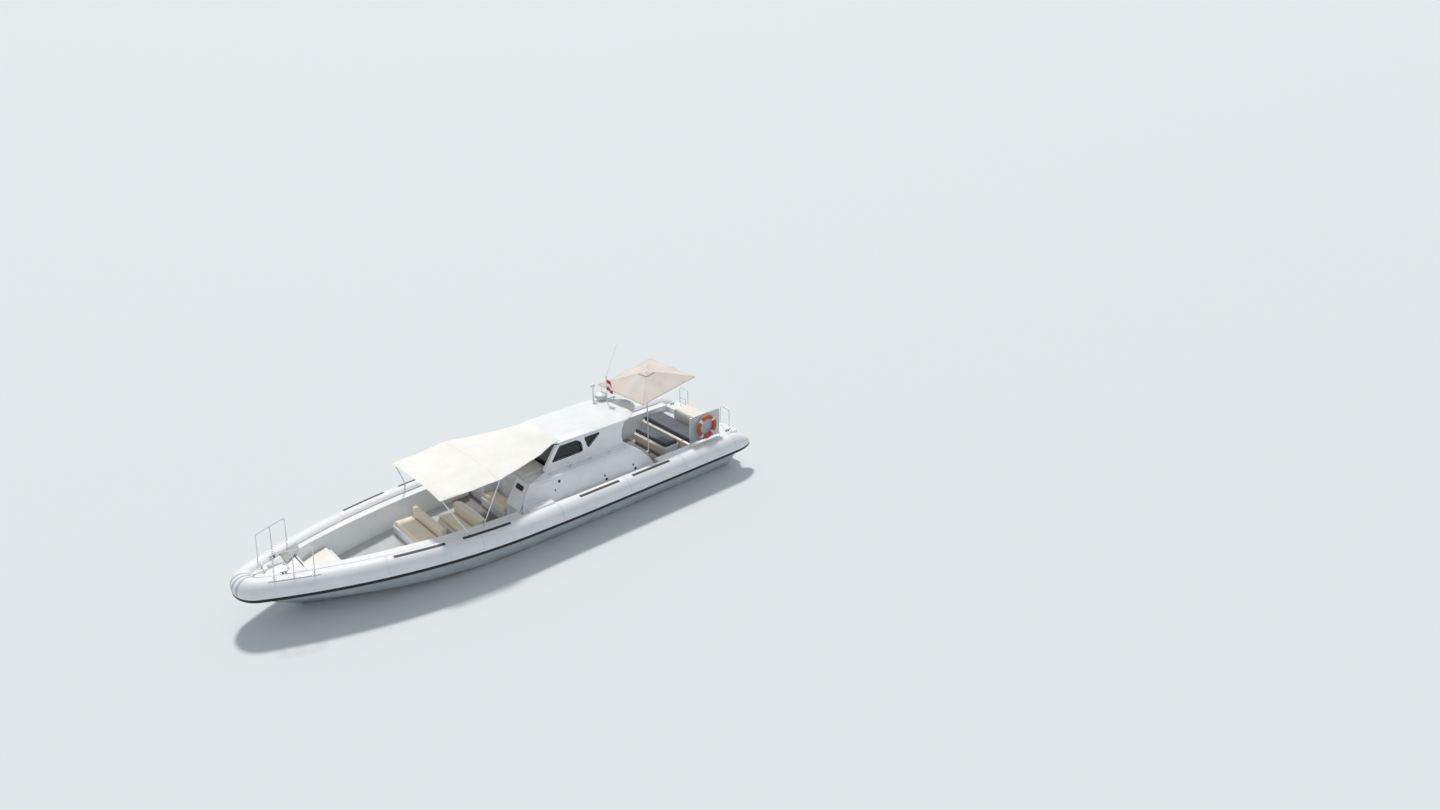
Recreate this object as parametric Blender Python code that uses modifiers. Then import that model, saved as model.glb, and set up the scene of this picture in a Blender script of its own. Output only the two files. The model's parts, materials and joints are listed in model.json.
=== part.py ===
"""A rigid inflatable boat with a wheelhouse, about fourteen metres long, afloat.

The frame has +X to the bow, +Y to port and +Z up. Its origin is on the waterline, amidships, on the
centreline. Every length is in metres, every angle in radians unless its name ends in deg.
"""

import math

import bmesh
import bpy
from mathutils import Matrix, Vector

# Clearances
GAP = 0.0003
RUN = 0.006

# Inflatable collar: a straight run, a long arc and a short nose arc, tangent to each other
TUBE_R = 0.300
TUBE_NOSE_R = 0.270
TUBE_Y = 1.780
TUBE_Z = 0.850
SHEER_RISE = 0.170
SHEER_START_X = -1.000
SHEER_POWER_SHARE = 1.2
STERN_X = -7.180
CONE_X = -6.420
CONE_DROP = 0.095
ARC_X = 0.600
NOSE_X = 6.930
NOSE_R = 0.420
TUBE_SIDES = 20
ARC_STEPS = 13
NOSE_STEPS = 5
CONE_SHARES = (0.995, 0.95, 0.85, 0.66, 0.38)
STRAIGHT_X = (CONE_X, -5.000, -3.300, -1.500, -0.400)

# Rub strake along the collar
STRAKE_T = 0.028
STRAKE_PROFILE_SHARES = ((0.0, 0.02), (0.8, 0.10), (1.0, 0.31), (0.8, 0.54), (0.0, 0.62))

# Hull
TRANSOM_X = -6.600
KEEL_Z = -0.720
KEEL_TRANSOM_Z = -0.620
KEEL_RISE_X = 2.600
STEM_TOP_Z = 0.700
KEEL_POWER_SHARE = 2.2
CHINE_Y = 1.430
CHINE_FLAT = 0.070
CHINE_Z = -0.020
CHINE_BOW_Z = 0.640
CHINE_POWER_SHARE = 2.4
SEAT_WALL = 0.050
FLOOR_Z = 0.420
FLOOR_BOW_Z = 0.800
FLOOR_TOP_X = 6.000
SEAT_SIDES = tuple(range(-4, -11, -1))
BOND_T = 0.003

# Cockpit coamings, soles and the bow pad's base
SOLE_T = 0.030
SOLE_Z = FLOOR_Z + SOLE_T
SOLE_MARGIN = 0.004
LIP_SIDE = 8
FLANGE_SIDE = 9
RIM_IN = 0.470
RIM_BOW_IN = 0.400
RIM_NARROW_X = (3.500, 5.500)
RIM_TOP = 0.200
COAMING_T = 0.040
COAMING_LEAN = 0.030
PAD_STEP = 9
DECK_STEP = 11
PAD_BASE_Z = 0.820
PAD_T = 0.080
PAD_MARGIN = 0.030
BLEND_IN = 0.015

# Foredeck
DECK_T = 0.050
DECK_DIP = 0.070
DECK_SHARES = ((0.55, 0.75), (0.0, 1.0))
DECK_WALL_T = 0.040
DECK_LAP = 0.010
LOCKER_X = (5.960, 6.330)
LOCKER_W = 0.400
LOCKER_REBATE = 0.030
LID_T = 0.028
LID_GAP = 0.006
LID_PIN_RISE = 0.002

# Pulpits
PULPIT_X = (5.630, 6.030, 6.410)
PULPIT_H = 0.620
PULPIT_LEAN = 0.050
RAIL_R = 0.0125
RAIL_BEND = 0.060

# Wheelhouse and trunk
SIDE_T = 0.040
KNUCKLE_Z = 1.620
LEDGE_Z = 1.700
EAVES_Z = 2.270
SIDE_LEVELS = (
    # z, y, foremost x, aftmost x
    (0.9430, 1.462, 0.560, -3.780),
    (1.000, 1.462, 0.530, -3.745),
    (1.200, 1.400, 0.400, -3.620),
    (1.420, 1.335, 0.260, -3.420),
    (KNUCKLE_Z, 1.255, 0.120, -3.170),
    (LEDGE_Z, 0.980, -0.480, -3.060),
    (1.880, 0.944, -0.640, -3.030),
    (2.080, 0.904, -0.820, -3.080),
    (EAVES_Z, 0.866, -0.985, -3.200),
)
SIDE_COLUMNS = 10
KNUCKLE_ROW = 4
LEDGE_ROW = 5
TAPER_X = -0.480
TRUNK_TAPER = 0.150
TRUNK_FRONT_X = 0.120
TRUNK_T = 0.040
TRUNK_TOP_Z = 1.600
TRUNK_AFT_X = -0.980
TRUNK_SIDE_MARGIN = 0.016
TRUNK_PAD_HALF = 0.780
TRUNK_PAD_MARGIN = 0.050
TRUNK_PAD_T = 0.070
TRUNK_RAIL_Y = 0.860
TRUNK_RAIL_H = 0.100
TRUNK_RAIL_BACK = 0.020
TRUNK_RAIL_BEND = 0.040
SCREEN_FOOT_X = -0.760
SCREEN_HEAD_X = -1.020
SCREEN_T = 0.012
SCREEN_MARGIN = 0.015
WINDOW = ((-0.760, 1.880), (-1.060, 2.215), (-1.600, 2.215), (-1.720, 2.130), (-1.740, 1.890))
QUARTER_WINDOW = ((-1.860, 2.215), (-2.360, 2.215), (-1.930, 1.930))
GLAZING = ((-0.700, 1.850), (-1.030, 2.240), (-2.420, 2.240), (-1.960, 1.850))
GLASS_T = 0.008
ROOF_T = 0.060
ROOF_CROWN = 0.050
ROOF_EDGE = 0.022
ROOF_CROWN_IN = (0.120, 0.250)
ROOF_PLAN = (
    # x, half width
    (-0.900, 0.0), (-0.910, 0.40), (-0.960, 0.74), (-1.060, 0.860), (-2.200, 0.880), (-3.250, 0.875),
    (-3.480, 0.790), (-3.780, 0.560), (-4.050, 0.280), (-4.130, 0.0),
)

# Side handrails, on the ledge of each wheelhouse side
HANDRAIL_Y = 1.120
HANDRAIL_X = (-0.560, -2.500)
HANDRAIL_Z = 1.760
HANDRAIL_BEND = 0.030
HANDRAIL_POST_SHARES = (0.33, 0.67)
HANDRAIL_POST_R = 0.010

# Helm
BULKHEAD_X = -1.000
BULKHEAD_T = 0.030
BULKHEAD_MARGIN = 0.012
DOOR_Y = (0.160, 0.680)
DOOR_Z = (0.520, 1.460)
DOOR_T = 0.024
DOOR_INSET = 0.003
DOOR_PIN = (0.002, 0.003)
DOOR_R = 0.004
CONSOLE_Y = (-0.820, -0.060)
CONSOLE_PROFILE = ((-1.031, 0.4503), (-1.300, 0.4503), (-1.360, 1.180), (-1.200, 1.470), (-1.031, 1.500))
CONSOLE_R = 0.020
WHEEL_R = 0.190
WHEEL_GRIP_R = 0.014
WHEEL_REACH = 0.110
WHEEL_Y = -0.440
WHEEL_HUB_R = 0.030
WHEEL_HUB_TOP = 0.015
SPOKE_R = 0.009
SPOKES = 3
SEAT_X = (-2.300, -1.860)
SEAT_Y = (-0.820, 0.000)
SEAT_Z = 1.020
SEAT_SQUAB_T = 0.130
SEAT_BACK_T = 0.100
SEAT_BACK_H = 0.420
SEAT_LAP = 0.010
SEAT_FOOT_IN = 0.060
SEAT_TOE_IN = 0.100
SEAT_R = 0.020

# Cockpit furniture: low and high corners of each block
FORE_SEAT = ((2.330, -0.800), (3.050, 0.860), 0.700)
MID_SEAT = ((1.420, -0.320), (2.050, 1.080), 0.680)
TRUNK_SEAT = ((0.1645, -0.560), (0.620, 0.600), 0.700)
AFT_BENCH = ((-5.420, -0.900), (-4.880, 0.600), 0.770)
CUSHION_T = 0.100
BACK_T = 0.150
BACK_Z = 1.060
CUSHION_MARGIN = 0.012
MOULD_R = 0.030

# Aft moulding, engine hatch and sunpad
ENGINE_BOX_X = (-6.590, -5.460)
ENGINE_WALL_T = 0.040
ENGINE_BOX_Z = 0.810
HATCH_Y = 1.270
HATCH_AFT_X = -6.475
HATCH_T = 0.060
HATCH_R = 0.015
SUNPAD_X = (-6.190, -5.500)
SUNPAD_Y = 1.200
SUNPAD_T = 0.130
STERN_PAD_X = (-6.850, -6.220)
STERN_PAD_Y = 0.620
STERN_PAD_T = 0.370
AFT_COAMING_X = (-6.540, CONE_X, -5.000, -3.900)
QUARTER_X = (-7.050, -6.500)
QUARTER_Y = (0.660, 1.425)
QUARTER_Z = (0.5015, 1.000)
QUARTER_JOINT_IN = 0.300
QUARTER_JOINT_DROP = 0.005
HOOP_X = -6.960
HOOP_Y = (0.760, 1.160)
HOOP_H = 0.600
HOOP_BEND = 0.120
ENGINE = ((-6.440, 0.180), (-5.620, 0.780), 0.740)

# Quarter screen, lifebuoy
SCREEN_Y = 1.400
SCREEN_X = (-6.310, -5.170)
SCREEN_Z = (1.120, 1.930)
SCREEN_FRAME_R = 0.0125
SCREEN_PANEL_T = 0.010
SCREEN_BEND = 0.080
BUOY_R = 0.305
BUOY_TUBE_R = 0.070
BUOY_SPOT = (-5.760, 1.520)
BUOY_SIDES = 12

# Swim platform, ladder
PLATFORM_X = (-7.120, TRANSOM_X - GAP)
PLATFORM_Y = 1.410
PLATFORM_Z = (0.440, 0.500)
LADDER_Y = -1.250
LADDER_HALF = 0.140
LADDER_X = -7.170
LADDER_Z = 0.540
LADDER_H = 0.560
LADDER_EAR = 0.020
LADDER_EAR_LAP = 0.030
LADDER_BEND = 0.060
LADDER_RUNGS = (0.020, 0.220, 0.400)

# Stern drives
DRIVE_Y = 0.480
HOUSING_X = TRANSOM_X - 0.060
EAR_X = TRANSOM_X - 0.190
EAR_Z = (-0.175, -0.145, 0.205, 0.235)
HOUSING_W = 0.120
STEER_X = TRANSOM_X - 0.130
STEER_R = 0.050
TILT_X = TRANSOM_X - 0.290
TILT_Z = 0.050
BRIDGE_X = (TILT_X + 0.080, STEER_X - 0.010)
BRIDGE_Z = (-0.020, 0.120)
ARM_X = (TILT_X - 0.040, TILT_X + 0.090)
ARM_Z = (0.0, 0.100)
FORK_Y = (0.085, 0.105)
HEAD_Y = 0.078
HEAD_R = 0.060
PIN_R = 0.016
LEG_Z = -0.620
LEG_X = (TRANSOM_X - 0.570, TRANSOM_X - 0.330)
LEG_LEVELS = (
    # z, share of its length, half thickness
    (TILT_Z - 0.020, 1.0, 0.065), (-0.200, 0.9, 0.045), (LEG_Z, 0.8, 0.035),
)
CAP_LAP = 0.012
CAP_Z = (TILT_Z - 0.090, TILT_Z + 0.055)
TORPEDO_X = (TRANSOM_X - 0.590, TRANSOM_X - 0.270)
TORPEDO_R = 0.058
TORPEDO_NOSE = (0.100, 0.030)
SKEG_IN = 0.020
SKEG_DROP = 0.200
SKEG_T = 0.016
PLATE_Z = -0.395
PLATE_T = 0.014
PLATE_HALF = 0.130
PLATE_AFT = 0.140
PLATE_FORE_IN = 0.020
PROP_HUB_L = 0.130
PROP_HUB_R = 0.052
PROP_R = 0.190
PROP_BLADES = 4
PROP_BLADE_T = 0.004
PROP_SECTIONS = (
    # distance from the shaft, chord, pitch in degrees
    (0.6 * PROP_HUB_R, 0.070, 55), (0.100, 0.120, 42), (0.155, 0.130, 30), (PROP_R, 0.050, 24),
)
PROP_PHASE_SHARE = 0.31

# Awning and its bows
AWNING = (
    # x, half width, edge z
    (2.640, 1.280, 2.150), (1.900, 1.345, 2.180), (1.050, 1.420, 2.220),
    (0.300, 1.190, 2.240), (-0.400, 0.980, 2.265), (-0.860, 0.800, 2.330),
)
AWNING_CROWN = 0.090
AWNING_T = 0.010
AWNING_SPANS = 8
BOW_R = 0.016
BOW_INSET = 0.040
FORE_BOW_X = (2.200, 2.580)
MID_BOW_X = (1.650, 1.060)
MID_BOW_OUT = 0.330
BOW_FOOT_H = 0.050
BOW_SHOULDER = 0.020
FOOT_GAP = 0.001

# Parasol
PARASOL_X = -4.770
PARASOL_Y = -0.060
PARASOL_HALF = (1.110, 0.920)
PARASOL_EDGE_Z = 2.760
PARASOL_TOP_Z = 3.060
PARASOL_TURN = math.radians(7.6)
PARASOL_TILT = math.radians(5.5)
PARASOL_T = 0.012
PARASOL_SHARES = (0.03, 0.5, 1.0)
PARASOL_POWER_SHARE = 1.15
POLE_R = 0.019
POLE_BASE_R = 0.085
POLE_BASE_H = 0.050

# Mast gear on the roof
ROOF_TOP_Z = EAVES_Z + GAP + ROOF_T + ROOF_CROWN
RADAR_SPOT = (-3.500, -0.600)
RADAR_R = 0.180
RADAR_H = 0.200
MAST_AHEAD = 0.140
MAST_SPOT = (PARASOL_X + PARASOL_HALF[0] + MAST_AHEAD, -0.330)
MAST_TOP_Z = 3.150
MAST_R = 0.014
MAST_HEAD_R = 0.022
MAST_SOCKET_H = 0.030
MAST_CHEEK_X = 0.018
MAST_CHEEK_T = 0.009
MAST_CHEEK_H = 0.045
WHIP_PIVOT_H = 0.028
WHIP_BARREL_R = 0.014
WHIP_FERRULE_L = 0.160
WHIP_L = 0.950
WHIP_R = 0.008
WHIP_RAKE = math.radians(25)
WHIP_FOLD_DEG = 90
FLAG_H = 0.400
FLAG_W = 0.260
FLAG_T = 0.012
FLAG_SLOPE = 0.060
FLAG_DROP = 0.050


def clear_scene():
    for item in list(bpy.data.objects):
        bpy.data.objects.remove(item, do_unlink=True)


clear_scene()
boat = bpy.data.collections.new("cabin_rib")
cutters = bpy.data.collections.new("cutters")
bpy.context.scene.collection.children.link(boat)
bpy.context.scene.collection.children.link(cutters)


def paint(name, colour, roughness, metallic=0.0):
    """A Principled material of one colour."""
    material = bpy.data.materials.new(name)
    material.use_nodes = True
    shader = material.node_tree.nodes["Principled BSDF"]
    shader.inputs["Base Color"].default_value = (*colour, 1.0)
    shader.inputs["Roughness"].default_value = roughness
    shader.inputs["Metallic"].default_value = metallic
    return material


GELCOAT = paint("white_gelcoat", (0.86, 0.87, 0.88), 0.25)
HULL_PAINT = paint("hull_gelcoat", (0.80, 0.82, 0.84), 0.30)
COLLAR = paint("collar_fabric", (0.80, 0.81, 0.83), 0.55)
BLACK = paint("black_rubber", (0.02, 0.02, 0.03), 0.60)
NONSKID = paint("grey_nonskid", (0.27, 0.26, 0.25), 0.80)
STEEL = paint("polished_stainless", (0.75, 0.76, 0.78), 0.15, 1.0)
CREAM = paint("cream_vinyl", (0.76, 0.70, 0.56), 0.60)
SLATE = paint("slate_vinyl", (0.05, 0.06, 0.08), 0.60)
CANVAS = paint("white_canvas", (0.86, 0.84, 0.79), 0.80)
SMOKED = paint("smoked_glass", (0.01, 0.012, 0.014), 0.05)
DARK = paint("dark_plastic", (0.03, 0.03, 0.035), 0.45)
ORANGE = paint("orange_foam", (0.55, 0.10, 0.02), 0.60)
RED = paint("flag_cloth", (0.60, 0.03, 0.05), 0.80)
METAL_PAINT = paint("drive_paint", (0.55, 0.57, 0.60), 0.35)
BRONZE = paint("prop_bronze", (0.50, 0.35, 0.16), 0.30, 1.0)
ENGINE_PAINT = paint("engine_paint", (0.25, 0.27, 0.30), 0.50)


def keep(item, material, smooth=True):
    """Puts a finished object with the boat, in its material."""
    item.data.materials.clear()
    item.data.materials.append(material)
    if smooth and item.type == "MESH":
        item.data.shade_smooth()
        item.data.set_sharp_from_angle(angle=math.radians(35))
    for collection in list(item.users_collection):
        collection.objects.unlink(item)
    boat.objects.link(item)
    return item


def as_cutter(item):
    for collection in list(item.users_collection):
        collection.objects.unlink(item)
    cutters.objects.link(item)
    item.hide_render = True
    item.display_type = "WIRE"
    return item


def mesh_object(name, points, faces):
    """A mesh from points and faces, its faces turned outwards."""
    mesh = bpy.data.meshes.new(name)
    mesh.from_pydata([tuple(p) for p in points], [], faces)
    form = bmesh.new()
    form.from_mesh(mesh)
    bmesh.ops.remove_doubles(form, verts=form.verts, dist=GAP / 10)
    bmesh.ops.recalc_face_normals(form, faces=form.faces)
    form.to_mesh(mesh)
    form.free()
    item = bpy.data.objects.new(name, mesh)
    boat.objects.link(item)
    return item


def mirrored(points):
    return [(x, -y, z) for x, y, z in points]


def loft(name, rings, material, closed=True, smooth=True):
    """Joins rings of as many points each, in order, and caps the first and the last."""
    count = len(rings[0])
    points = [p for ring in rings for p in ring]
    faces = []
    for row in range(len(rings) - 1):
        for i in range(count if closed else count - 1):
            after = (i + 1) % count
            low = row * count
            high = low + count
            faces.append((low + i, low + after, high + after, high + i))
    faces.append(tuple(reversed(range(count))))
    faces.append(tuple(range(len(points) - count, len(points))))
    return keep(mesh_object(name, points, faces), material, smooth)


def box(name, low, high, material, bevel=0.0, segments=2):
    """A block between two corners, its edges rounded."""
    bpy.ops.mesh.primitive_cube_add(size=1.0)
    item = bpy.context.object
    item.name = name
    size = [h - l for l, h in zip(low, high)]
    centre = [(h + l) / 2 for l, h in zip(low, high)]
    item.data.transform(Matrix.Diagonal((*size, 1.0)))
    item.location = centre
    if bevel:
        add_bevel(item, bevel, segments)
    return keep(item, material)


def add_bevel(item, width, segments=2):
    modifier = item.modifiers.new("rounded", "BEVEL")
    modifier.width = width
    modifier.segments = segments
    modifier.limit_method = "ANGLE"
    modifier.angle_limit = math.radians(40)
    return modifier


def rod(name, start, end, radius, sides=12):
    """A round bar between two points."""
    start, end = Vector(start), Vector(end)
    form = bmesh.new()
    bmesh.ops.create_cone(
        form, cap_ends=True, segments=sides, radius1=radius, radius2=radius, depth=(end - start).length
    )
    turn = (end - start).to_track_quat("Z", "Y").to_matrix().to_4x4()
    form.transform(Matrix.Translation((start + end) / 2) @ turn)
    mesh = bpy.data.meshes.new(name)
    form.to_mesh(mesh)
    form.free()
    item = bpy.data.objects.new(name, mesh)
    boat.objects.link(item)
    return item


def pipe(name, route, radius, closed=False, sides=2):
    """A bent tube along a route, as a welded mesh."""
    curve = bpy.data.curves.new(name, "CURVE")
    curve.dimensions = "3D"
    curve.bevel_depth = radius
    curve.bevel_resolution = sides
    curve.use_fill_caps = True
    spline = curve.splines.new("POLY")
    spline.points.add(len(route) - 1)
    for point, place in zip(spline.points, route):
        point.co = (*place, 1.0)
    spline.use_cyclic_u = closed
    guide = bpy.data.objects.new(name + "_guide", curve)
    bpy.context.scene.collection.objects.link(guide)
    bpy.context.view_layer.update()
    seen = guide.evaluated_get(bpy.context.evaluated_depsgraph_get())
    mesh = bpy.data.meshes.new_from_object(seen)
    form = bmesh.new()
    form.from_mesh(mesh)
    bmesh.ops.remove_doubles(form, verts=form.verts, dist=GAP / 10)
    bmesh.ops.recalc_face_normals(form, faces=form.faces)
    form.to_mesh(mesh)
    form.free()
    item = bpy.data.objects.new(name, mesh)
    boat.objects.link(item)
    bpy.data.objects.remove(guide)
    return item


def combine(name, first, others, operation, material, solver="EXACT"):
    """Applies one Boolean, with all of its tools at once, to the first mesh, and removes the tools."""
    tools = bpy.data.collections.new("tools")
    for other in others:
        tools.objects.link(other)
    modifier = first.modifiers.new("combine", "BOOLEAN")
    modifier.operation = operation
    modifier.operand_type = "COLLECTION"
    modifier.collection = tools
    modifier.solver = solver
    bpy.context.view_layer.update()
    seen = first.evaluated_get(bpy.context.evaluated_depsgraph_get())
    mesh = bpy.data.meshes.new_from_object(seen)
    first.modifiers.clear()
    first.data = mesh
    for other in others:
        bpy.data.objects.remove(other, do_unlink=True)
    bpy.data.collections.remove(tools)
    first.name = name
    first.data.name = name
    return keep(first, material)


def pivot(item, place):
    """Moves an object's origin to a point on its joint's axis and leaves its shape where it is."""
    place = Matrix.Translation(Vector(place))
    item.data.transform(place.inverted() @ item.matrix_basis)
    item.matrix_basis = place
    return item


def rounded(route, radius, steps=4):
    """The route with each inner corner replaced by a short curve."""
    result = [Vector(route[0])]
    for before, corner, after in zip(route, route[1:], route[2:]):
        before, corner, after = Vector(before), Vector(corner), Vector(after)
        enter = corner + (before - corner).normalized() * radius
        leave = corner + (after - corner).normalized() * radius
        for step in range(steps + 1):
            t = step / steps
            result.append((1 - t) ** 2 * enter + 2 * t * (1 - t) * corner + t**2 * leave)
    result.append(Vector(route[-1]))
    return result


# Plan of the collar's centreline, port side

ARC_R = ((NOSE_X - NOSE_R - ARC_X) ** 2 + TUBE_Y**2 - NOSE_R**2) / (2 * (TUBE_Y - NOSE_R))
ARC_PHI = math.atan2(NOSE_X - NOSE_R - ARC_X, ARC_R - TUBE_Y)


def on_big_arc(phi):
    return ARC_X + ARC_R * math.sin(phi), TUBE_Y - ARC_R + ARC_R * math.cos(phi)


def on_nose_arc(phi):
    return NOSE_X - NOSE_R + NOSE_R * math.sin(phi), NOSE_R * math.cos(phi)


def station_at(x):
    """(x, y, phi) of the collar's centreline, where phi turns its outward normal from +Y to +X."""
    if x <= ARC_X:
        return x, TUBE_Y, 0.0
    tangent_x = on_big_arc(ARC_PHI)[0]
    if x <= tangent_x:
        phi = math.asin((x - ARC_X) / ARC_R)
        return (*on_big_arc(phi), phi)
    phi = math.asin(min(1.0, (x - NOSE_X + NOSE_R) / NOSE_R))
    return (*on_nose_arc(phi), phi)


def bow_stations(first_x):
    """Stations from first_x on the big arc, round to the nose on the centreline."""
    start = station_at(first_x)[2]
    result = []
    for step in range(ARC_STEPS + 1):
        phi = start + (ARC_PHI - start) * step / ARC_STEPS
        result.append((*on_big_arc(phi), phi))
    for step in range(1, NOSE_STEPS + 1):
        phi = ARC_PHI + (math.pi / 2 - ARC_PHI) * step / NOSE_STEPS
        result.append((*on_nose_arc(phi), phi))
    return result


def tube_z(x):
    along = max(0.0, (x - SHEER_START_X) / (NOSE_X - SHEER_START_X))
    drop = max(0.0, (CONE_X - x) / (CONE_X - STERN_X))
    return TUBE_Z + SHEER_RISE * along**SHEER_POWER_SHARE - CONE_DROP * drop**2


def tube_r(x):
    if x < CONE_X:
        along = (CONE_X - x) / (CONE_X - STERN_X)
        return TUBE_R * math.sqrt(max(0.0, 1 - along**2))
    along = max(0.0, (x - ARC_X) / (NOSE_X - ARC_X))
    return TUBE_R + (TUBE_NOSE_R - TUBE_R) * along


def offset_point(station, out, z):
    """A point at a distance out from the collar's centreline, along its outward normal."""
    x, y, phi = station
    return (x + out * math.sin(phi), y + out * math.cos(phi), z)


def around_tube(station, radius, angle):
    x = station[0]
    return offset_point(station, radius * math.cos(angle), tube_z(x) + radius * math.sin(angle))


def seat_radius(x):
    """Radius at the collar's ridges of what seats on it, with a bond line that opens along the bow."""
    bond = BOND_T * min(1.0, max(0.0, x - ARC_X))
    return tube_r(x) + (GAP + bond) / math.cos(math.pi / TUBE_SIDES)


def ridge(station, side):
    """A point on one ridge of what seats on the collar."""
    return around_tube(station, seat_radius(station[0]), 2 * math.pi * side / TUBE_SIDES)


def whole_path(stations):
    """Port stations from aft to the nose, then the starboard ones back, as a turn of each ring."""
    rings = [(s, 1.0) for s in stations]
    rings += [(s, -1.0) for s in reversed(stations[:-1])]
    return rings


def cone_stations():
    return [station_at(CONE_X + (STERN_X - CONE_X) * share) for share in CONE_SHARES]


BOW_STATIONS = bow_stations(ARC_X)
COLLAR_STATIONS = cone_stations() + [station_at(x) for x in STRAIGHT_X] + BOW_STATIONS


def chord_z(x):
    """Height of the collar's centreline as its straight facets have it, along its straight run."""
    ends = list(STRAIGHT_X) + [ARC_X]
    for back, front in zip(ends, ends[1:]):
        if back <= x <= front:
            return tube_z(back) + (tube_z(front) - tube_z(back)) * (x - back) / (front - back)
    return tube_z(x)


def collar():
    rings = []
    for station, side in whole_path(COLLAR_STATIONS):
        radius = tube_r(station[0])
        ring = [
            around_tube(station, radius, 2 * math.pi * i / TUBE_SIDES) for i in range(TUBE_SIDES)
        ]
        rings.append([(x, side * y, z) for x, y, z in ring])
    return loft("inflatable_collar", rings, COLLAR)


def on_facet(station, radius, share):
    """A point between two ridges of the collar, on its facet below the widest point."""
    upper = Vector(around_tube(station, radius, -2 * math.pi / TUBE_SIDES))
    lower = Vector(around_tube(station, radius, -4 * math.pi / TUBE_SIDES))
    return upper.lerp(lower, share)


def rub_strake():
    rings = []
    for station, side in whole_path(COLLAR_STATIONS[3:]):
        seat = seat_radius(station[0])
        profile = [(seat + STRAKE_T * out, share) for out, share in STRAKE_PROFILE_SHARES]
        ring = [on_facet(station, radius, share) for radius, share in profile]
        rings.append([(p.x, side * p.y, p.z) for p in ring])
    return loft("rub_strake", rings, BLACK)


# Hull


def keel_z(x):
    rise = max(0.0, (x - KEEL_RISE_X) / (NOSE_X - KEEL_RISE_X))
    aft = max(0.0, -x / -TRANSOM_X)
    return KEEL_Z + (STEM_TOP_Z - KEEL_Z) * rise**KEEL_POWER_SHARE + (KEEL_TRANSOM_Z - KEEL_Z) * aft


def chine(x):
    along = max(0.0, x / NOSE_X)
    y = CHINE_Y * (1 - along**CHINE_POWER_SHARE)
    rise = max(0.0, (x - SHEER_START_X) / (NOSE_X - SHEER_START_X))
    return y, CHINE_Z + (CHINE_BOW_Z - CHINE_Z) * rise**CHINE_POWER_SHARE


def floor_z(x):
    start = BOW_STATIONS[PAD_STEP][0]
    along = (x - start) / (FLOOR_TOP_X - start)
    along = min(1.0, max(0.0, along))
    return FLOOR_Z + (FLOOR_BOW_Z - FLOOR_Z) * along


def hull_section(station):
    """Port half of the hull at a station, from the keel out, up round the collar, in and down."""
    x, _, phi = station
    radius = seat_radius(x)
    chine_y, chine_z = chine(x)
    flat = CHINE_FLAT * math.cos(phi)
    points = [(x, 0.0, keel_z(x)), (x, chine_y, chine_z), (x, chine_y + flat, chine_z)]
    points += [around_tube(station, radius, 2 * math.pi * side / TUBE_SIDES) for side in SEAT_SIDES]
    top = ridge(station, FLANGE_SIDE)[2] - GAP
    wall = radius + SEAT_WALL
    points.append(offset_point(station, -radius, top))
    points.append(offset_point(station, -wall, top))
    floor = floor_z(x)
    points.append(offset_point(station, -wall, floor))
    inner_x = min(x, offset_point(station, -wall, floor)[0])
    points.append((inner_x, 0.0, floor))
    return points


def hull():
    stations = [station_at(x) for x in (TRANSOM_X,) + STRAIGHT_X] + bow_stations(ARC_X)
    rows = [hull_section(s) for s in stations]
    count = len(rows[0])
    points = [p for row in rows for p in row]
    faces = []
    for row in range(len(rows) - 1):
        low = row * count
        for i in range(count - 1):
            faces.append((low + i, low + i + 1, low + count + i + 1, low + count + i))
    faces.append(tuple(reversed(range(count))))
    item = mesh_object("hull", points, faces)
    modifier = item.modifiers.new("other side", "MIRROR")
    modifier.use_axis = (False, True, False)
    modifier.use_clip = True
    modifier.merge_threshold = 0.0001
    return keep(item, HULL_PAINT)


# Soles, coamings and the bow


def rim_in(x):
    low, high = RIM_NARROW_X
    along = min(1.0, max(0.0, (x - low) / (high - low)))
    return RIM_IN + (RIM_BOW_IN - RIM_IN) * along


def deck_sole():
    outline = []
    for station in [station_at(x) for x in (TRANSOM_X,) + STRAIGHT_X] + BOW_STATIONS[: PAD_STEP + 1]:
        outline.append(offset_point(station, -seat_radius(station[0]) - SEAT_WALL - SOLE_MARGIN, 0.0))
    last_x, last_y, _ = outline[-1]
    outline += [(last_x, 0.0, 0.0)] + mirrored(reversed(outline))
    rings = [[(x, y, z) for x, y, _ in outline] for z in (FLOOR_Z + GAP, SOLE_Z)]
    return loft("deck_sole", rings, NONSKID)


def coaming(name, stations, side):
    """The rim on the collar's inner shoulder and the wall down to the sole."""
    rings = []
    for station in stations:
        x = station[0]
        lip = ridge(station, LIP_SIDE)
        seat = ridge(station, FLANGE_SIDE)
        lip_out = -seat_radius(x) * math.cos(math.pi * (1 - 2 * LIP_SIDE / TUBE_SIDES))
        top = tube_z(x) + RIM_TOP
        inner = -rim_in(x)
        foot = floor_z(x) + SOLE_T + GAP
        ring = [
            seat,
            lip,
            offset_point(station, lip_out, top),
            offset_point(station, inner, top),
            offset_point(station, inner - COAMING_LEAN, foot),
            offset_point(station, inner - COAMING_LEAN + COAMING_T, foot),
            offset_point(station, inner + COAMING_T, seat[2]),
        ]
        rings.append([(x, side * y, z) for x, y, z in ring])
    return loft(name, rings, GELCOAT)


def wall_point(station):
    """Where the coaming's inner face stands, at its foot."""
    return offset_point(station, -rim_in(station[0]) - COAMING_LEAN, 0.0)


def across(station, grow, low, high, x=None):
    """A rectangle across the boat between the coamings, at a station."""
    wall_x, wall_y, _ = wall_point(station)
    x = wall_x if x is None else x
    half = wall_y + grow
    return [(x, -half, low), (x, half, low), (x, half, high), (x, -half, high)]


def fore_stations():
    last = BOW_STATIONS[DECK_STEP]
    return BOW_STATIONS[:DECK_STEP] + [station_at(last[0] - 2 * GAP)]


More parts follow.
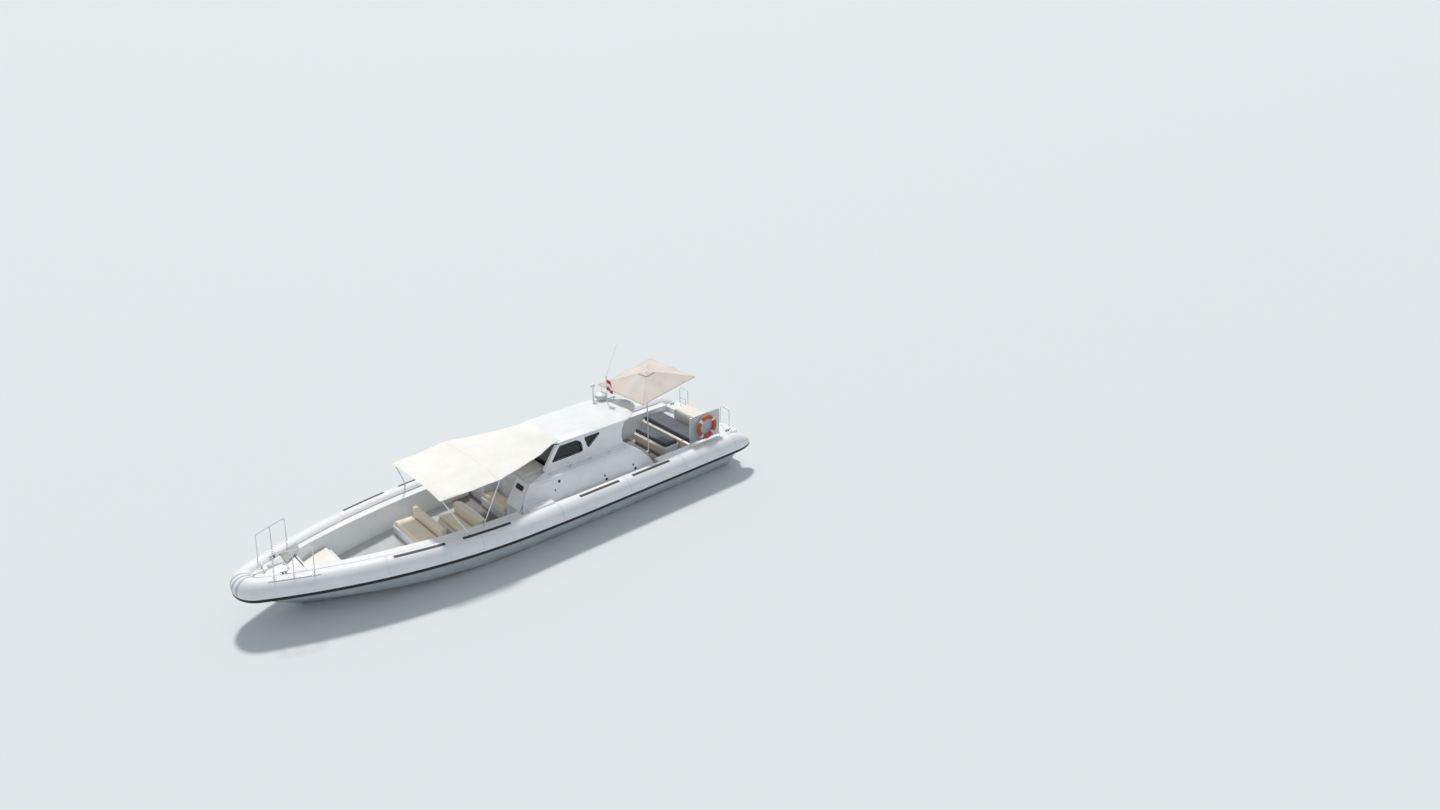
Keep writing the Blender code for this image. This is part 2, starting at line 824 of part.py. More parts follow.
def pad_base():
    """The raised block that carries the bow pad, set into both coamings."""
    rings = []
    for station in fore_stations()[PAD_STEP:]:
        low = floor_z(station[0]) + SOLE_T + GAP
        rings.append(across(station, BLEND_IN, low, PAD_BASE_Z))
    return loft("pad_base", rings, GELCOAT)


def deck_wall():
    """The step from the bow pad up to the foredeck."""
    station = fore_stations()[-1]
    high = tube_z(station[0]) + RIM_TOP - DECK_DIP
    low = PAD_BASE_Z - BLEND_IN
    wall_x = wall_point(station)[0]
    rings = [across(station, BLEND_IN, low, high, x) for x in (wall_x - DECK_WALL_T, wall_x)]
    return loft("deck_wall", rings, GELCOAT)


def fore_moulding():
    stations = fore_stations()
    port = coaming("port", stations, 1.0)
    starboard = coaming("starboard", stations, -1.0)
    return combine("fore_cockpit_moulding", port, [pad_base(), deck_wall(), starboard], "UNION", GELCOAT)


def bow_pad():
    rings = []
    stations = fore_stations()[PAD_STEP:]
    low = PAD_BASE_Z + GAP
    for station in stations:
        ring = across(station, -PAD_MARGIN, low, low + PAD_T)
        if station is stations[0]:
            ring = [(x + PAD_MARGIN, y, z) for x, y, z in ring]
        if station is stations[-1]:
            ring = [(x - DECK_WALL_T - PAD_MARGIN, y, z) for x, y, z in ring]
        rings.append(ring)
    item = loft("bow_pad", rings, CREAM)
    add_bevel(item, PAD_T / 3)
    return item


def deck_section(station):
    """Port half of the foredeck: its upper line from the seat on the collar, and its lower line."""
    seat = ridge(station, FLANGE_SIDE)
    lip = ridge(station, LIP_SIDE)
    top = tube_z(station[0]) + RIM_TOP
    inner = offset_point(station, -seat_radius(station[0]) - SEAT_WALL - DECK_LAP, top)
    upper = [seat, lip, (lip[0], lip[1], top), inner]
    lower = [(inner[0], inner[1], seat[2] + 10 * GAP)]
    for share, dip_share in DECK_SHARES:
        z = top - DECK_DIP * dip_share
        upper.append((inner[0], inner[1] * share, z))
        lower.append((inner[0], inner[1] * share, z - DECK_T))
    return upper, lower


def lid_top():
    """Height of the closed lid's upper face, just proud of the deck at its hinge."""
    return tube_z(LOCKER_X[0]) + RIM_TOP - DECK_DIP + LID_GAP


def foredeck():
    rings = []
    for station in BOW_STATIONS[DECK_STEP:-1]:
        upper, lower = deck_section(station)
        rings.append(upper + mirrored(reversed(upper[:-1])) + mirrored(lower[:-1]) + list(reversed(lower)))
    deck = loft("foredeck", rings, GELCOAT)
    low_x, high_x = LOCKER_X
    top = tube_z(high_x) + RIM_TOP
    half = LOCKER_W / 2 + LID_GAP
    rebate = box(
        "rebate",
        (low_x - LID_GAP, -half, lid_top() - LID_T - GAP),
        (high_x + LID_GAP, half, top + DECK_DIP),
        GELCOAT,
    )
    mouth = box(
        "mouth",
        (low_x + LOCKER_REBATE, LOCKER_REBATE - half, FLOOR_BOW_Z),
        (high_x - LOCKER_REBATE, half - LOCKER_REBATE, top),
        GELCOAT,
    )
    return combine("foredeck", deck, [rebate, mouth], "DIFFERENCE", GELCOAT)


def locker_lid():
    low_x, high_x = LOCKER_X
    half = LOCKER_W / 2
    low, high = (low_x, -half, lid_top() - LID_T), (high_x, half, lid_top())
    lid = box("anchor_locker_lid", low, high, GELCOAT, LID_GAP)
    return pivot(lid, (low_x, 0.0, lid_top() + LID_PIN_RISE))


def pulpit(name, side):
    feet = []
    for x in PULPIT_X:
        station = station_at(x)
        feet.append(offset_point(station, 0.0, tube_z(x) + tube_r(x) + 4 * GAP))
    tops = [(x - PULPIT_LEAN, y, z + PULPIT_H) for x, y, z in feet]
    level = max(z for _, _, z in tops)
    tops = [(x, y, level) for x, y, _ in tops]

    def sided(points):
        return [(p[0], side * p[1], p[2]) for p in points]

    route = rounded(sided([feet[0], tops[0], tops[1], tops[2], feet[2]]), RAIL_BEND)
    hoop = pipe("hoop", route, RAIL_R)
    middle = rod("post", *sided([feet[1], tops[1]]), RAIL_R, 10)
    return combine(name, hoop, [middle], "UNION", STEEL)


# Wheelhouse


def side_surface(name, side):
    """One side of trunk and wheelhouse: a sheet through its levels, thickened inwards."""
    rows = []
    for level, (z, y, front, back) in enumerate(SIDE_LEVELS):
        row = []
        for column in range(SIDE_COLUMNS + 1):
            x = front + (back - front) * column / SIDE_COLUMNS
            ahead = max(0.0, (x - TAPER_X) / (SIDE_LEVELS[0][2] - TAPER_X))
            rise = chord_z(x) - TUBE_Z if level < 2 else 0.0
            row.append((x, side * (y - (TRUNK_TAPER * ahead if level > 1 else 0.0)), z + rise))
        rows.append(row)
    count = SIDE_COLUMNS + 1
    points = [p for row in rows for p in row]
    faces = []
    for r in range(len(rows) - 1):
        for c in range(SIDE_COLUMNS):
            low = r * count + c
            face = (low, low + 1, low + count + 1, low + count)
            faces.append(face if side > 0 else tuple(reversed(face)))
    mesh = bpy.data.meshes.new(name)
    mesh.from_pydata(points, [], faces)
    item = bpy.data.objects.new(name, mesh)
    boat.objects.link(item)
    modifier = item.modifiers.new("wall", "SOLIDIFY")
    modifier.thickness = SIDE_T
    modifier.offset = -1.0
    bpy.context.view_layer.update()
    seen = item.evaluated_get(bpy.context.evaluated_depsgraph_get())
    item.data = bpy.data.meshes.new_from_object(seen)
    item.modifiers.clear()
    return item


def plate(name, outline, side, near, far, material):
    """A flat plate from a side-view outline of (x, z), between two distances from the centreline."""
    rings = [[(x, side * y, z) for x, z in outline] for y in (near, far)]
    return loft(name, rings, material)


def cabin_side(name, side):
    wall = side_surface(name, side)
    near, far = wall_line(EAVES_Z) - 2 * SIDE_T, wall_line(LEDGE_Z) + 2 * SIDE_T
    window = plate("window", WINDOW, side, near, far, GELCOAT)
    quarter = plate("quarter", QUARTER_WINDOW, side, near, far, GELCOAT)
    return combine(name, wall, [window, quarter], "DIFFERENCE", GELCOAT)


def wall_line(z):
    """Distance of the upper side's outer face from the centreline, at a height."""
    low, high = SIDE_LEVELS[LEDGE_ROW], SIDE_LEVELS[-1]
    return low[1] + (high[1] - low[1]) * (z - low[0]) / (high[0] - low[0])


def glazing(name, side):
    """One sheet of glass that lies on the inside of a side and closes both its windows."""
    rings = []
    low, high = SIDE_LEVELS[LEDGE_ROW], SIDE_LEVELS[-1]
    slant = math.hypot(1.0, (high[1] - low[1]) / (high[0] - low[0]))
    for depth in ((SIDE_T + GAP) * slant, (SIDE_T + GAP) * slant + GLASS_T):
        rings.append([(x, side * (wall_line(z) - depth), z) for x, z in GLAZING])
    return loft(name, rings, SMOKED)


def trunk_half(level):
    """Half width and foremost x of what closes the space between the sides at one of their levels."""
    _, y, front, _ = SIDE_LEVELS[level]
    coaming_y = TUBE_Y - RIM_IN - COAMING_LEAN
    taper = TRUNK_TAPER * (front - TAPER_X) / (SIDE_LEVELS[0][2] - TAPER_X) if level > 1 else 0.0
    return min(y - taper - SIDE_T, coaming_y) - TRUNK_SIDE_MARGIN, front - TRUNK_SIDE_MARGIN


def trunk():
    """The trunk's raked front, its top, and the seat let into the front."""
    back_x = TRUNK_FRONT_X - TRUNK_T
    levels = [(SOLE_Z + GAP, *trunk_half(0)), (SIDE_LEVELS[1][0], *trunk_half(1))]
    levels += [(SIDE_LEVELS[row][0], *trunk_half(row)) for row in range(2, KNUCKLE_ROW)]
    head_half = trunk_half(KNUCKLE_ROW)[0]
    levels.append((TRUNK_TOP_Z, head_half, TRUNK_FRONT_X))
    rings = [[(back_x, -y, z), (x, -y, z), (x, y, z), (back_x, y, z)] for z, y, x in levels]
    front = loft("front", rings, GELCOAT)
    top_rings = []
    for x, half in ((TRUNK_FRONT_X - BLEND_IN, head_half), (TRUNK_AFT_X, head_half)):
        low = TRUNK_TOP_Z - TRUNK_T
        top_rings.append([(x, -half, low), (x, half, low), (x, half, TRUNK_TOP_Z), (x, -half, TRUNK_TOP_Z)])
    top = loft("top", top_rings, GELCOAT)
    (x0, y0), (x1, y1), z = TRUNK_SEAT
    wall_x = TRUNK_FRONT_X - TRUNK_T / 4
    recess = box("recess", (wall_x, y0, z), (x1, y1, TRUNK_TOP_Z + TRUNK_T), GELCOAT)
    seat = box("seat", (TRUNK_FRONT_X - TRUNK_T / 2, y0, SOLE_Z + GAP), (x1, y1, z), GELCOAT)
    front = combine("front", front, [recess], "DIFFERENCE", GELCOAT)
    return combine("trunk_moulding", front, [top, seat], "UNION", GELCOAT)


def trunk_pad():
    low, high = SCREEN_FOOT_X + TRUNK_PAD_MARGIN, TRUNK_FRONT_X - TRUNK_PAD_MARGIN
    z = TRUNK_TOP_Z + GAP
    return box(
        "trunk_pad",
        (low, -TRUNK_PAD_HALF, z),
        (high, TRUNK_PAD_HALF, z + TRUNK_PAD_T),
        CREAM,
        TRUNK_PAD_T / 3,
    )


def trunk_rail():
    x, y = TRUNK_FRONT_X - TRUNK_RAIL_BACK, TRUNK_RAIL_Y
    foot = TRUNK_TOP_Z + GAP
    top = foot + TRUNK_RAIL_H
    route = rounded([(x, -y, foot), (x, -y, top), (x, y, top), (x, y, foot)], TRUNK_RAIL_BEND)
    return keep(pipe("trunk_rail", route, RAIL_R), STEEL)


def windscreen():
    foot_z = TRUNK_TOP_Z + GAP
    head_z = EAVES_Z - 2 * GAP
    rings = []
    low_y, high_y = (wall_line(z) - SIDE_T - SCREEN_MARGIN for z in (foot_z, head_z))
    for set_back in (0.0, SCREEN_T):
        low_x, high_x = SCREEN_FOOT_X - set_back, SCREEN_HEAD_X - set_back
        foot = [(low_x, -low_y, foot_z), (low_x, low_y, foot_z)]
        rings.append(foot + [(high_x, high_y, head_z), (high_x, -high_y, head_z)])
    return loft("windscreen", rings, SMOKED)


def roof_outline(grow, z):
    points = [(x, max(0.0, half + (grow if half else 0.0)), z) for x, half in ROOF_PLAN]
    first, last = points[0], points[-1]
    points[0] = (first[0] + grow, 0.0, z)
    points[-1] = (last[0] - grow, 0.0, z)
    return points + mirrored(reversed(points[1:-1]))


def roof():
    base = EAVES_Z + GAP
    rings = [
        roof_outline(0.0, base),
        roof_outline(ROOF_EDGE, base + ROOF_T / 2),
        roof_outline(0.0, base + ROOF_T),
        roof_outline(-ROOF_CROWN_IN[0], base + ROOF_T + ROOF_CROWN * 0.6),
        roof_outline(-ROOF_CROWN_IN[1], base + ROOF_T + ROOF_CROWN),
    ]
    return loft("wheelhouse_roof", rings, GELCOAT)


def handrail(name, side):
    """A rail on four feet that stand on the ledge between the side's knuckle and its upper part."""
    low, high = SIDE_LEVELS[KNUCKLE_ROW], SIDE_LEVELS[LEDGE_ROW]
    slope = (high[0] - low[0]) / (low[1] - high[1])
    y = side * HANDRAIL_Y
    foot = low[0] + (low[1] - HANDRAIL_Y + RAIL_R) * slope + GAP
    x0, x1 = HANDRAIL_X
    route = [(x0, y, foot), (x0, y, HANDRAIL_Z), (x1, y, HANDRAIL_Z), (x1, y, foot)]
    rail = pipe("rail", rounded(route, HANDRAIL_BEND), RAIL_R)
    posts = []
    for share in HANDRAIL_POST_SHARES:
        x = x0 + (x1 - x0) * share
        posts.append(rod("post", (x, y, foot), (x, y, HANDRAIL_Z), HANDRAIL_POST_R, 8))
    return combine(name, rail, posts, "UNION", STEEL)


# Helm


def helm_bulkhead():
    y = wall_line(LEDGE_Z) - SIDE_T - BULKHEAD_MARGIN
    z_top = TRUNK_TOP_Z - TRUNK_T - GAP
    wall = box("wall", (BULKHEAD_X - BULKHEAD_T, -y, SOLE_Z + GAP), (BULKHEAD_X, y, z_top), GELCOAT)
    hole = box(
        "hole",
        (BULKHEAD_X - 2 * BULKHEAD_T, DOOR_Y[0], DOOR_Z[0]),
        (BULKHEAD_X + BULKHEAD_T, DOOR_Y[1], DOOR_Z[1]),
        GELCOAT,
    )
    return combine("helm_bulkhead", wall, [hole], "DIFFERENCE", GELCOAT)


def cabin_door():
    aft = BULKHEAD_X - BULKHEAD_T + DOOR_INSET
    low = (aft, DOOR_Y[0] + RUN, DOOR_Z[0] + RUN)
    high = (aft + DOOR_T, DOOR_Y[1] - GAP, DOOR_Z[1] - RUN)
    pin = (BULKHEAD_X - BULKHEAD_T - DOOR_PIN[0], DOOR_Y[1] - DOOR_PIN[1], (low[2] + high[2]) / 2)
    return pivot(box("cabin_door", low, high, GELCOAT, DOOR_R, 1), pin)


def helm_console():
    rings = [[(x, y, z) for x, z in CONSOLE_PROFILE] for y in CONSOLE_Y]
    item = loft("helm_console", rings, DARK)
    add_bevel(item, CONSOLE_R, 1)
    return item


def steering_wheel():
    """Rim, hub and spokes about a raked shaft."""
    bpy.ops.mesh.primitive_torus_add(
        major_radius=WHEEL_R, minor_radius=WHEEL_GRIP_R, major_segments=28, minor_segments=8
    )
    rim = bpy.context.object
    spokes = []
    for i in range(SPOKES):
        turn = Matrix.Rotation(2 * math.pi * i / SPOKES + math.pi / 2, 4, "Z")
        end = turn @ Vector((WHEEL_R, 0.0, 0.0))
        spokes.append(rod("spoke", (0.0, 0.0, 0.0), end, SPOKE_R, 8))
    hub = rod("hub", (0.0, 0.0, GAP - WHEEL_REACH), (0.0, 0.0, WHEEL_HUB_TOP), WHEEL_HUB_R, 16)
    wheel = combine("steering_wheel", rim, [hub] + spokes, "UNION", DARK)
    # The shaft stands square on the dash and points aft and up.
    (low_x, low_z), (high_x, high_z) = CONSOLE_PROFILE[2:4]
    tilt = math.atan2(high_x - low_x, high_z - low_z)
    normal = Vector((-math.cos(tilt), 0.0, math.sin(tilt)))
    wheel.rotation_euler = (0.0, tilt - math.pi / 2, 0.0)
    wheel.location = Vector(((low_x + high_x) / 2, WHEEL_Y, (low_z + high_z) / 2)) + normal * WHEEL_REACH
    return wheel


def helm_seat():
    x0, x1 = SEAT_X
    y0, y1 = SEAT_Y
    under = SEAT_Z - SEAT_SQUAB_T
    base = box(
        "base",
        (x0 + SEAT_FOOT_IN, y0 + SEAT_FOOT_IN, SOLE_Z + GAP),
        (x1 - SEAT_TOE_IN, y1 - SEAT_FOOT_IN, under + SEAT_LAP),
        GELCOAT,
    )
    squab = box("squab", (x0, y0, under), (x1, y1, SEAT_Z), GELCOAT)
    low, high = (x0, y0, SEAT_Z - SEAT_SQUAB_T / 2), (x0 + SEAT_BACK_T, y1, SEAT_Z + SEAT_BACK_H)
    back = box("back", low, high, GELCOAT)
    item = combine("helm_seat", base, [squab, back], "UNION", CREAM)
    add_bevel(item, SEAT_R, 1)
    return item


# Cockpit furniture


def seat_base(name, spot, material=GELCOAT):
    (x0, y0), (x1, y1), z = spot
    return box(name, (x0, y0, SOLE_Z + GAP), (x1, y1, z), material, MOULD_R, 2)


def seat_cushion(name, spot, back, material):
    """A seat pad and, where there is one, the back rest behind it, as one L."""
    (x0, y0), (x1, y1), z = spot
    low = z + GAP
    m = CUSHION_MARGIN
    if not back:
        return box(name, (x0 + m, y0 + m, low), (x1 - m, y1 - m, low + CUSHION_T), material, CUSHION_T / 4)
    outline = [
        (x0 + m, low), (x1 - m, low), (x1 - m, low + CUSHION_T), (x0 + m + BACK_T, low + CUSHION_T),
        (x0 + m + BACK_T * 0.8, BACK_Z), (x0 + m, BACK_Z),
    ]
    rings = [[(x, y, z2) for x, z2 in outline] for y in (y0 + m, y1 - m)]
    item = loft(name, rings, material)
    add_bevel(item, CUSHION_T / 5)
    return item


def aft_moulding():
    stations = [station_at(x) for x in AFT_COAMING_X]
    port = coaming("port", stations, 1.0)
    starboard = coaming("starboard", stations, -1.0)
    y = TUBE_Y - RIM_IN + BLEND_IN
    low = SOLE_Z + GAP
    x0, x1 = ENGINE_BOX_X
    inner = AFT_COAMING_X[0]
    front = box("front", (x1 - ENGINE_WALL_T, -y, low), (x1, y, ENGINE_BOX_Z), GELCOAT)
    back = box("back", (inner, -y, low), (inner + 2 * ENGINE_WALL_T, y, ENGINE_BOX_Z - GAP), GELCOAT)
    blocks = []
    for side in (-1, 1):
        y0, y1 = sorted(side * edge for edge in QUARTER_Y)
        (q0, q1), (z0, z1) = QUARTER_X, QUARTER_Z
        blocks.append(box("quarter", (q0, y0, z0), (inner - 2 * GAP, y1, z1), GELCOAT))
        y0, y1 = sorted(side * edge for edge in (HATCH_Y + RUN, QUARTER_Y[1]))
        near, far = (q0 + QUARTER_JOINT_IN, y0, z0), (q1, y1, z1 - QUARTER_JOINT_DROP)
        blocks.append(box("joint", near, far, GELCOAT))
    return combine("aft_cockpit_moulding", port, [front, back, starboard] + blocks, "UNION", GELCOAT)


def hatch_axis():
    """A point on the hinge line of the engine hatch, along its aft lower edge."""
    return (HATCH_AFT_X, 0.0, ENGINE_BOX_Z + GAP)


def hatch():
    low = ENGINE_BOX_Z + GAP
    corners = (HATCH_AFT_X, -HATCH_Y, low), (ENGINE_BOX_X[1], HATCH_Y, low + HATCH_T)
    return pivot(box("engine_hatch", *corners, GELCOAT, HATCH_R), hatch_axis())


def hatch_pad(name, spot_x, half_y, thickness, material):
    low = ENGINE_BOX_Z + HATCH_T + 2 * GAP
    corners = (spot_x[0], -half_y, low), (spot_x[1], half_y, low + thickness)
    return pivot(box(name, *corners, material, SUNPAD_T / 4), hatch_axis())


def stern_hoop(name, side):
    y0, y1 = (side * y for y in HOOP_Y)
    low = QUARTER_Z[1] + GAP
    top = low + HOOP_H
    route = [(HOOP_X, y0, low), (HOOP_X, y0, top), (HOOP_X, y1, top), (HOOP_X, y1, low)]
    return keep(pipe(name, rounded(route, HOOP_BEND), RAIL_R), STEEL)


def engine(name, side):
    (x0, y0), (x1, y1), z = ENGINE
    low, high = sorted((side * y0, side * y1))
    return box(name, (x0, low, SOLE_Z + GAP), (x1, high, z), ENGINE_PAINT, MOULD_R)


def quarter_screen():
    x0, x1 = SCREEN_X
    z0, z1 = SCREEN_Z
    foot = TUBE_Z + RIM_TOP + GAP
    y = SCREEN_Y
    route = rounded([(x0, y, foot), (x0, y, z1), (x1, y, z1), (x1, y, foot)], SCREEN_BEND)
    frame = pipe("frame", route, SCREEN_FRAME_R)
    bar = rod("bar", (x0, y, z0), (x1, y, z0), SCREEN_FRAME_R * 0.9, 10)
    panel = box("panel", (x0, y - SCREEN_PANEL_T / 2, z0), (x1, y + SCREEN_PANEL_T / 2, z1), SLATE)
    return combine("quarter_screen", frame, [bar, panel], "UNION", STEEL)


def lifebuoy():
    bpy.ops.mesh.primitive_torus_add(
        major_radius=BUOY_R, minor_radius=BUOY_TUBE_R, major_segments=32, minor_segments=BUOY_SIDES
    )
    item = bpy.context.object
    item.name = "lifebuoy"
    item.rotation_euler = (math.pi / 2, 0.0, 0.0)
    x, z = BUOY_SPOT
    item.location = (x, SCREEN_Y + SCREEN_PANEL_T / 2 + GAP + BUOY_TUBE_R, z)
    return keep(item, ORANGE)


def swim_platform():
    x0, x1 = PLATFORM_X
    z0, z1 = PLATFORM_Z
    slab = box("slab", (x0, -PLATFORM_Y, z0), (x1, PLATFORM_Y, z1), NONSKID)
    ears = []
    for side in (-1, 1):
        inner = LADDER_Y + side * (LADDER_HALF + RAIL_R + GAP)
        low, high = sorted((inner, inner + side * LADDER_EAR))
        near, far = (LADDER_X - LADDER_EAR, low, z0), (x0 + LADDER_EAR_LAP, high, LADDER_Z + LADDER_EAR)
        ears.append(box("ear", near, far, GELCOAT))
    return combine("swim_platform", slab, ears, "UNION", NONSKID)


def ladder():
    x, z = LADDER_X, LADDER_Z
    y0, y1 = LADDER_Y - LADDER_HALF, LADDER_Y + LADDER_HALF
    route = [(x, y0, z), (x, y0, z + LADDER_H), (x, y1, z + LADDER_H), (x, y1, z)]
    frame = pipe("frame", rounded(route, LADDER_BEND), RAIL_R)
    rungs = [rod("rung", (x, y0, z + h), (x, y1, z + h), RAIL_R, 10) for h in LADDER_RUNGS]
    return pivot(combine("boarding_ladder", frame, rungs, "UNION", STEEL), (x, LADDER_Y, z))


# Stern drives


def housings():
    """The bearing brackets on the transom, one for each drive."""
    parts = []
    for side in (-1, 1):
        y = side * DRIVE_Y
        back_x = TRANSOM_X + BLEND_IN
        low, ear_low, ear_high, high = EAR_Z
        parts.append(box("back", (HOUSING_X, y - HOUSING_W, low), (back_x, y + HOUSING_W, high), HULL_PAINT))
        ear_w = HOUSING_W * 0.6
        ear_x = HOUSING_X + BLEND_IN
        for z0, z1 in ((low, ear_low), (ear_high, high)):
            parts.append(box("ear", (EAR_X, y - ear_w, z0), (ear_x, y + ear_w, z1), HULL_PAINT))
    return parts


def gimbal(name, side):
    y = side * DRIVE_Y
    kingpin = rod("kingpin", (STEER_X, y, EAR_Z[1] + GAP), (STEER_X, y, EAR_Z[2] - GAP), STEER_R, 20)
    (x0, x1), (z0, z1) = BRIDGE_X, BRIDGE_Z
    bridge = box("bridge", (x0, y - FORK_Y[1], z0), (x1, y + FORK_Y[1], z1), METAL_PAINT)
    arms = []
    (x0, x1), (z0, z1) = ARM_X, ARM_Z
    for inner, outer in ((FORK_Y[0], FORK_Y[1]), (-FORK_Y[1], -FORK_Y[0])):
        arms.append(box("arm", (x0, y + inner, z0), (x1, y + outer, z1), METAL_PAINT))
    item = combine(name, kingpin, [bridge] + arms, "UNION", METAL_PAINT)
    return pivot(item, (STEER_X, y, TILT_Z))


def turned(name, stations, y, z, radius, sides=16):
    """A body turned about a line along X, from (x, share of the radius)."""
    rings = []
    for x, share in stations:
        ring = []
        for i in range(sides):
            angle = 2 * math.pi * (i + 0.5) / sides
            ring.append((x, y + radius * share * math.cos(angle), z + radius * share * math.sin(angle)))
        rings.append(ring)
    return loft(name, rings, METAL_PAINT)


def drive_leg(name, side):
    """The leg that tilts in its gimbal: head, column, anti-ventilation plate, torpedo and skeg."""
    y = side * DRIVE_Y
    head = rod("head", (TILT_X, y - HEAD_Y, TILT_Z), (TILT_X, y + HEAD_Y, TILT_Z), HEAD_R, 20)
    pin_y = FORK_Y[0] - GAP
    pins = rod("pin", (TILT_X, y - pin_y, TILT_Z), (TILT_X, y + pin_y, TILT_Z), PIN_R, 12)
    x0, x1 = LEG_X
    cap_y = HEAD_Y * 0.95
    cap = box("cap", (x0 - CAP_LAP, y - cap_y, CAP_Z[0]), (TILT_X, y + cap_y, CAP_Z[1]), METAL_PAINT)
    rings = []
    for z, share, half in LEG_LEVELS:
        length = (x1 - x0) * share
        fore, aft = x1 - length * 0.25, x1 - length * 0.7
        port = [(x1, y, z), (fore, y + half, z), (aft, y + half, z), (x1 - length, y, z)]
        rings.append(port + [(aft, y - half, z), (fore, y - half, z)])
    column = loft("column", rings, METAL_PAINT)
    low = (x0 - PLATE_AFT, y - PLATE_HALF, PLATE_Z)
    high = (x1 - PLATE_FORE_IN, y + PLATE_HALF, PLATE_Z + PLATE_T)
    fin = box("plate", low, high, METAL_PAINT)
    t0, t1 = TORPEDO_X
    nose, tip = TORPEDO_NOSE
    form = [(t0, 1.0), (t1 - nose, 1.0), (t1 - tip, 0.65), (t1, 0.2)]
    torpedo = turned("torpedo", form, y, LEG_Z, TORPEDO_R)
    outline = ((t0 + SKEG_IN, LEG_Z), (t1 - nose, LEG_Z), (t0 + 2 * SKEG_IN, LEG_Z - SKEG_DROP))
    skeg = plate("skeg", outline, 1.0, y - SKEG_T / 2, y + SKEG_T / 2, METAL_PAINT)
    item = combine(name, head, [pins, cap, column, fin, torpedo, skeg], "UNION", METAL_PAINT)
    return pivot(item, (TILT_X, y, TILT_Z))


def propeller(name, side):
    """A hub with pitched blades; the two propellers are of opposite hand."""
    y = side * DRIVE_Y
    start = TORPEDO_X[0] - 2 * GAP
    hub = turned("hub", [(start, 1.0), (start - PROP_HUB_L, 0.95)], y, LEG_Z, PROP_HUB_R, 18)
    middle = (start - PROP_HUB_L / 2, y, LEG_Z)
    blades = []
    for i in range(PROP_BLADES):
        turn = 2 * math.pi * (i + PROP_PHASE_SHARE) / PROP_BLADES
        rings = []
        for radius, chord, pitch in PROP_SECTIONS:
            angle = math.radians(pitch) * side
            along = Vector((math.sin(angle), math.cos(angle), 0.0)) * chord / 2
            thick = Vector((math.cos(angle), -math.sin(angle), 0.0)) * PROP_BLADE_T
            base = Vector((0.0, 0.0, radius))
            rings.append([base + along, base + thick, base - along, base - thick])
        place = Matrix.Translation(middle) @ Matrix.Rotation(turn, 4, "X")
        rings = [[tuple(place @ p) for p in ring] for ring in rings]
        blades.append(loft("blade", rings, BRONZE))
    return pivot(combine(name, hub, blades, "UNION", BRONZE, "MANIFOLD"), middle)


# Awning, parasol and gear


def awning_edge(x):
    for (x0, w0, z0), (x1, w1, z1) in zip(AWNING, AWNING[1:]):
        if x1 <= x <= x0:
            t = (x0 - x) / (x0 - x1)
            return w0 + (w1 - w0) * t, z0 + (z1 - z0) * t
    return AWNING[0][1:]


def awning_z(x, y):
    half, edge = awning_edge(x)
    return edge + AWNING_CROWN * (1 - min(1.0, abs(y) / half) ** 2)


def awning():
    rings = []
    for x, half, _ in AWNING:
        ys = [half * (2 * i / AWNING_SPANS - 1) for i in range(AWNING_SPANS + 1)]
        upper = [(x, y, awning_z(x, y)) for y in ys]
        lower = [(x, y, z - AWNING_T) for x, y, z in reversed(upper)]
        rings.append(upper + lower)
    return loft("awning", rings, CANVAS)


def awning_bow(name, foot, head_x):
    half, _ = awning_edge(head_x)
    half -= BOW_INSET
    drop = AWNING_T + BOW_R + 4 * GAP
    over = [half * (1 - i / 4) for i in range(9)]
    over = [(head_x, y, awning_z(head_x, y) - drop) for y in over]
    over[0] = (over[0][0], over[0][1], over[0][2] - BOW_SHOULDER)
    over[-1] = (over[-1][0], over[-1][1], over[-1][2] - BOW_SHOULDER)
    x, y, z = foot
    port = [(x, y, z), (x, y, z + BOW_FOOT_H)]
    starboard = [(x, -y, z + BOW_FOOT_H), (x, -y, z)]
    return keep(pipe(name, [Vector(p) for p in port + over + starboard], BOW_R), STEEL)


def parasol_pole():
    """Base plate and pole, turned in one."""
    mesh = bpy.data.meshes.new("parasol_pole")
    drop = (PARASOL_TOP_Z - PARASOL_EDGE_Z) * PARASOL_SHARES[0] ** PARASOL_POWER_SHARE
    top = PARASOL_TOP_Z - drop - PARASOL_T * 1.5 - POLE_R * math.sin(PARASOL_TILT) - GAP
    low = SOLE_Z + GAP
    collar_r = POLE_R * 1.6
    profile = [
        (0.0, top), (POLE_R, top), (POLE_R, low + POLE_BASE_H * 2), (collar_r, low + POLE_BASE_H * 2),
        (collar_r, low + POLE_BASE_H), (POLE_BASE_R, low + POLE_BASE_H * 0.6), (POLE_BASE_R, low),
        (0.0, low),
    ]
    mesh.from_pydata([(r, 0.0, z) for r, z in profile], [(i, i + 1) for i in range(len(profile) - 1)], [])
    item = bpy.data.objects.new("parasol_pole", mesh)
    boat.objects.link(item)
    item.location = (PARASOL_X, PARASOL_Y, 0.0)
    turn = item.modifiers.new("turn", "SCREW")
    turn.steps = turn.render_steps = 24
    turn.use_merge_vertices = True
    turn.merge_threshold = 0.0001
    return keep(item, STEEL)


def parasol_ring(share, z):
    hx, hy = PARASOL_HALF
    corners = [(1, 1), (0, 1), (-1, 1), (-1, 0), (-1, -1), (0, -1), (1, -1), (1, 0)]
    return [(hx * share * cx, hy * share * cy, z) for cx, cy in corners]


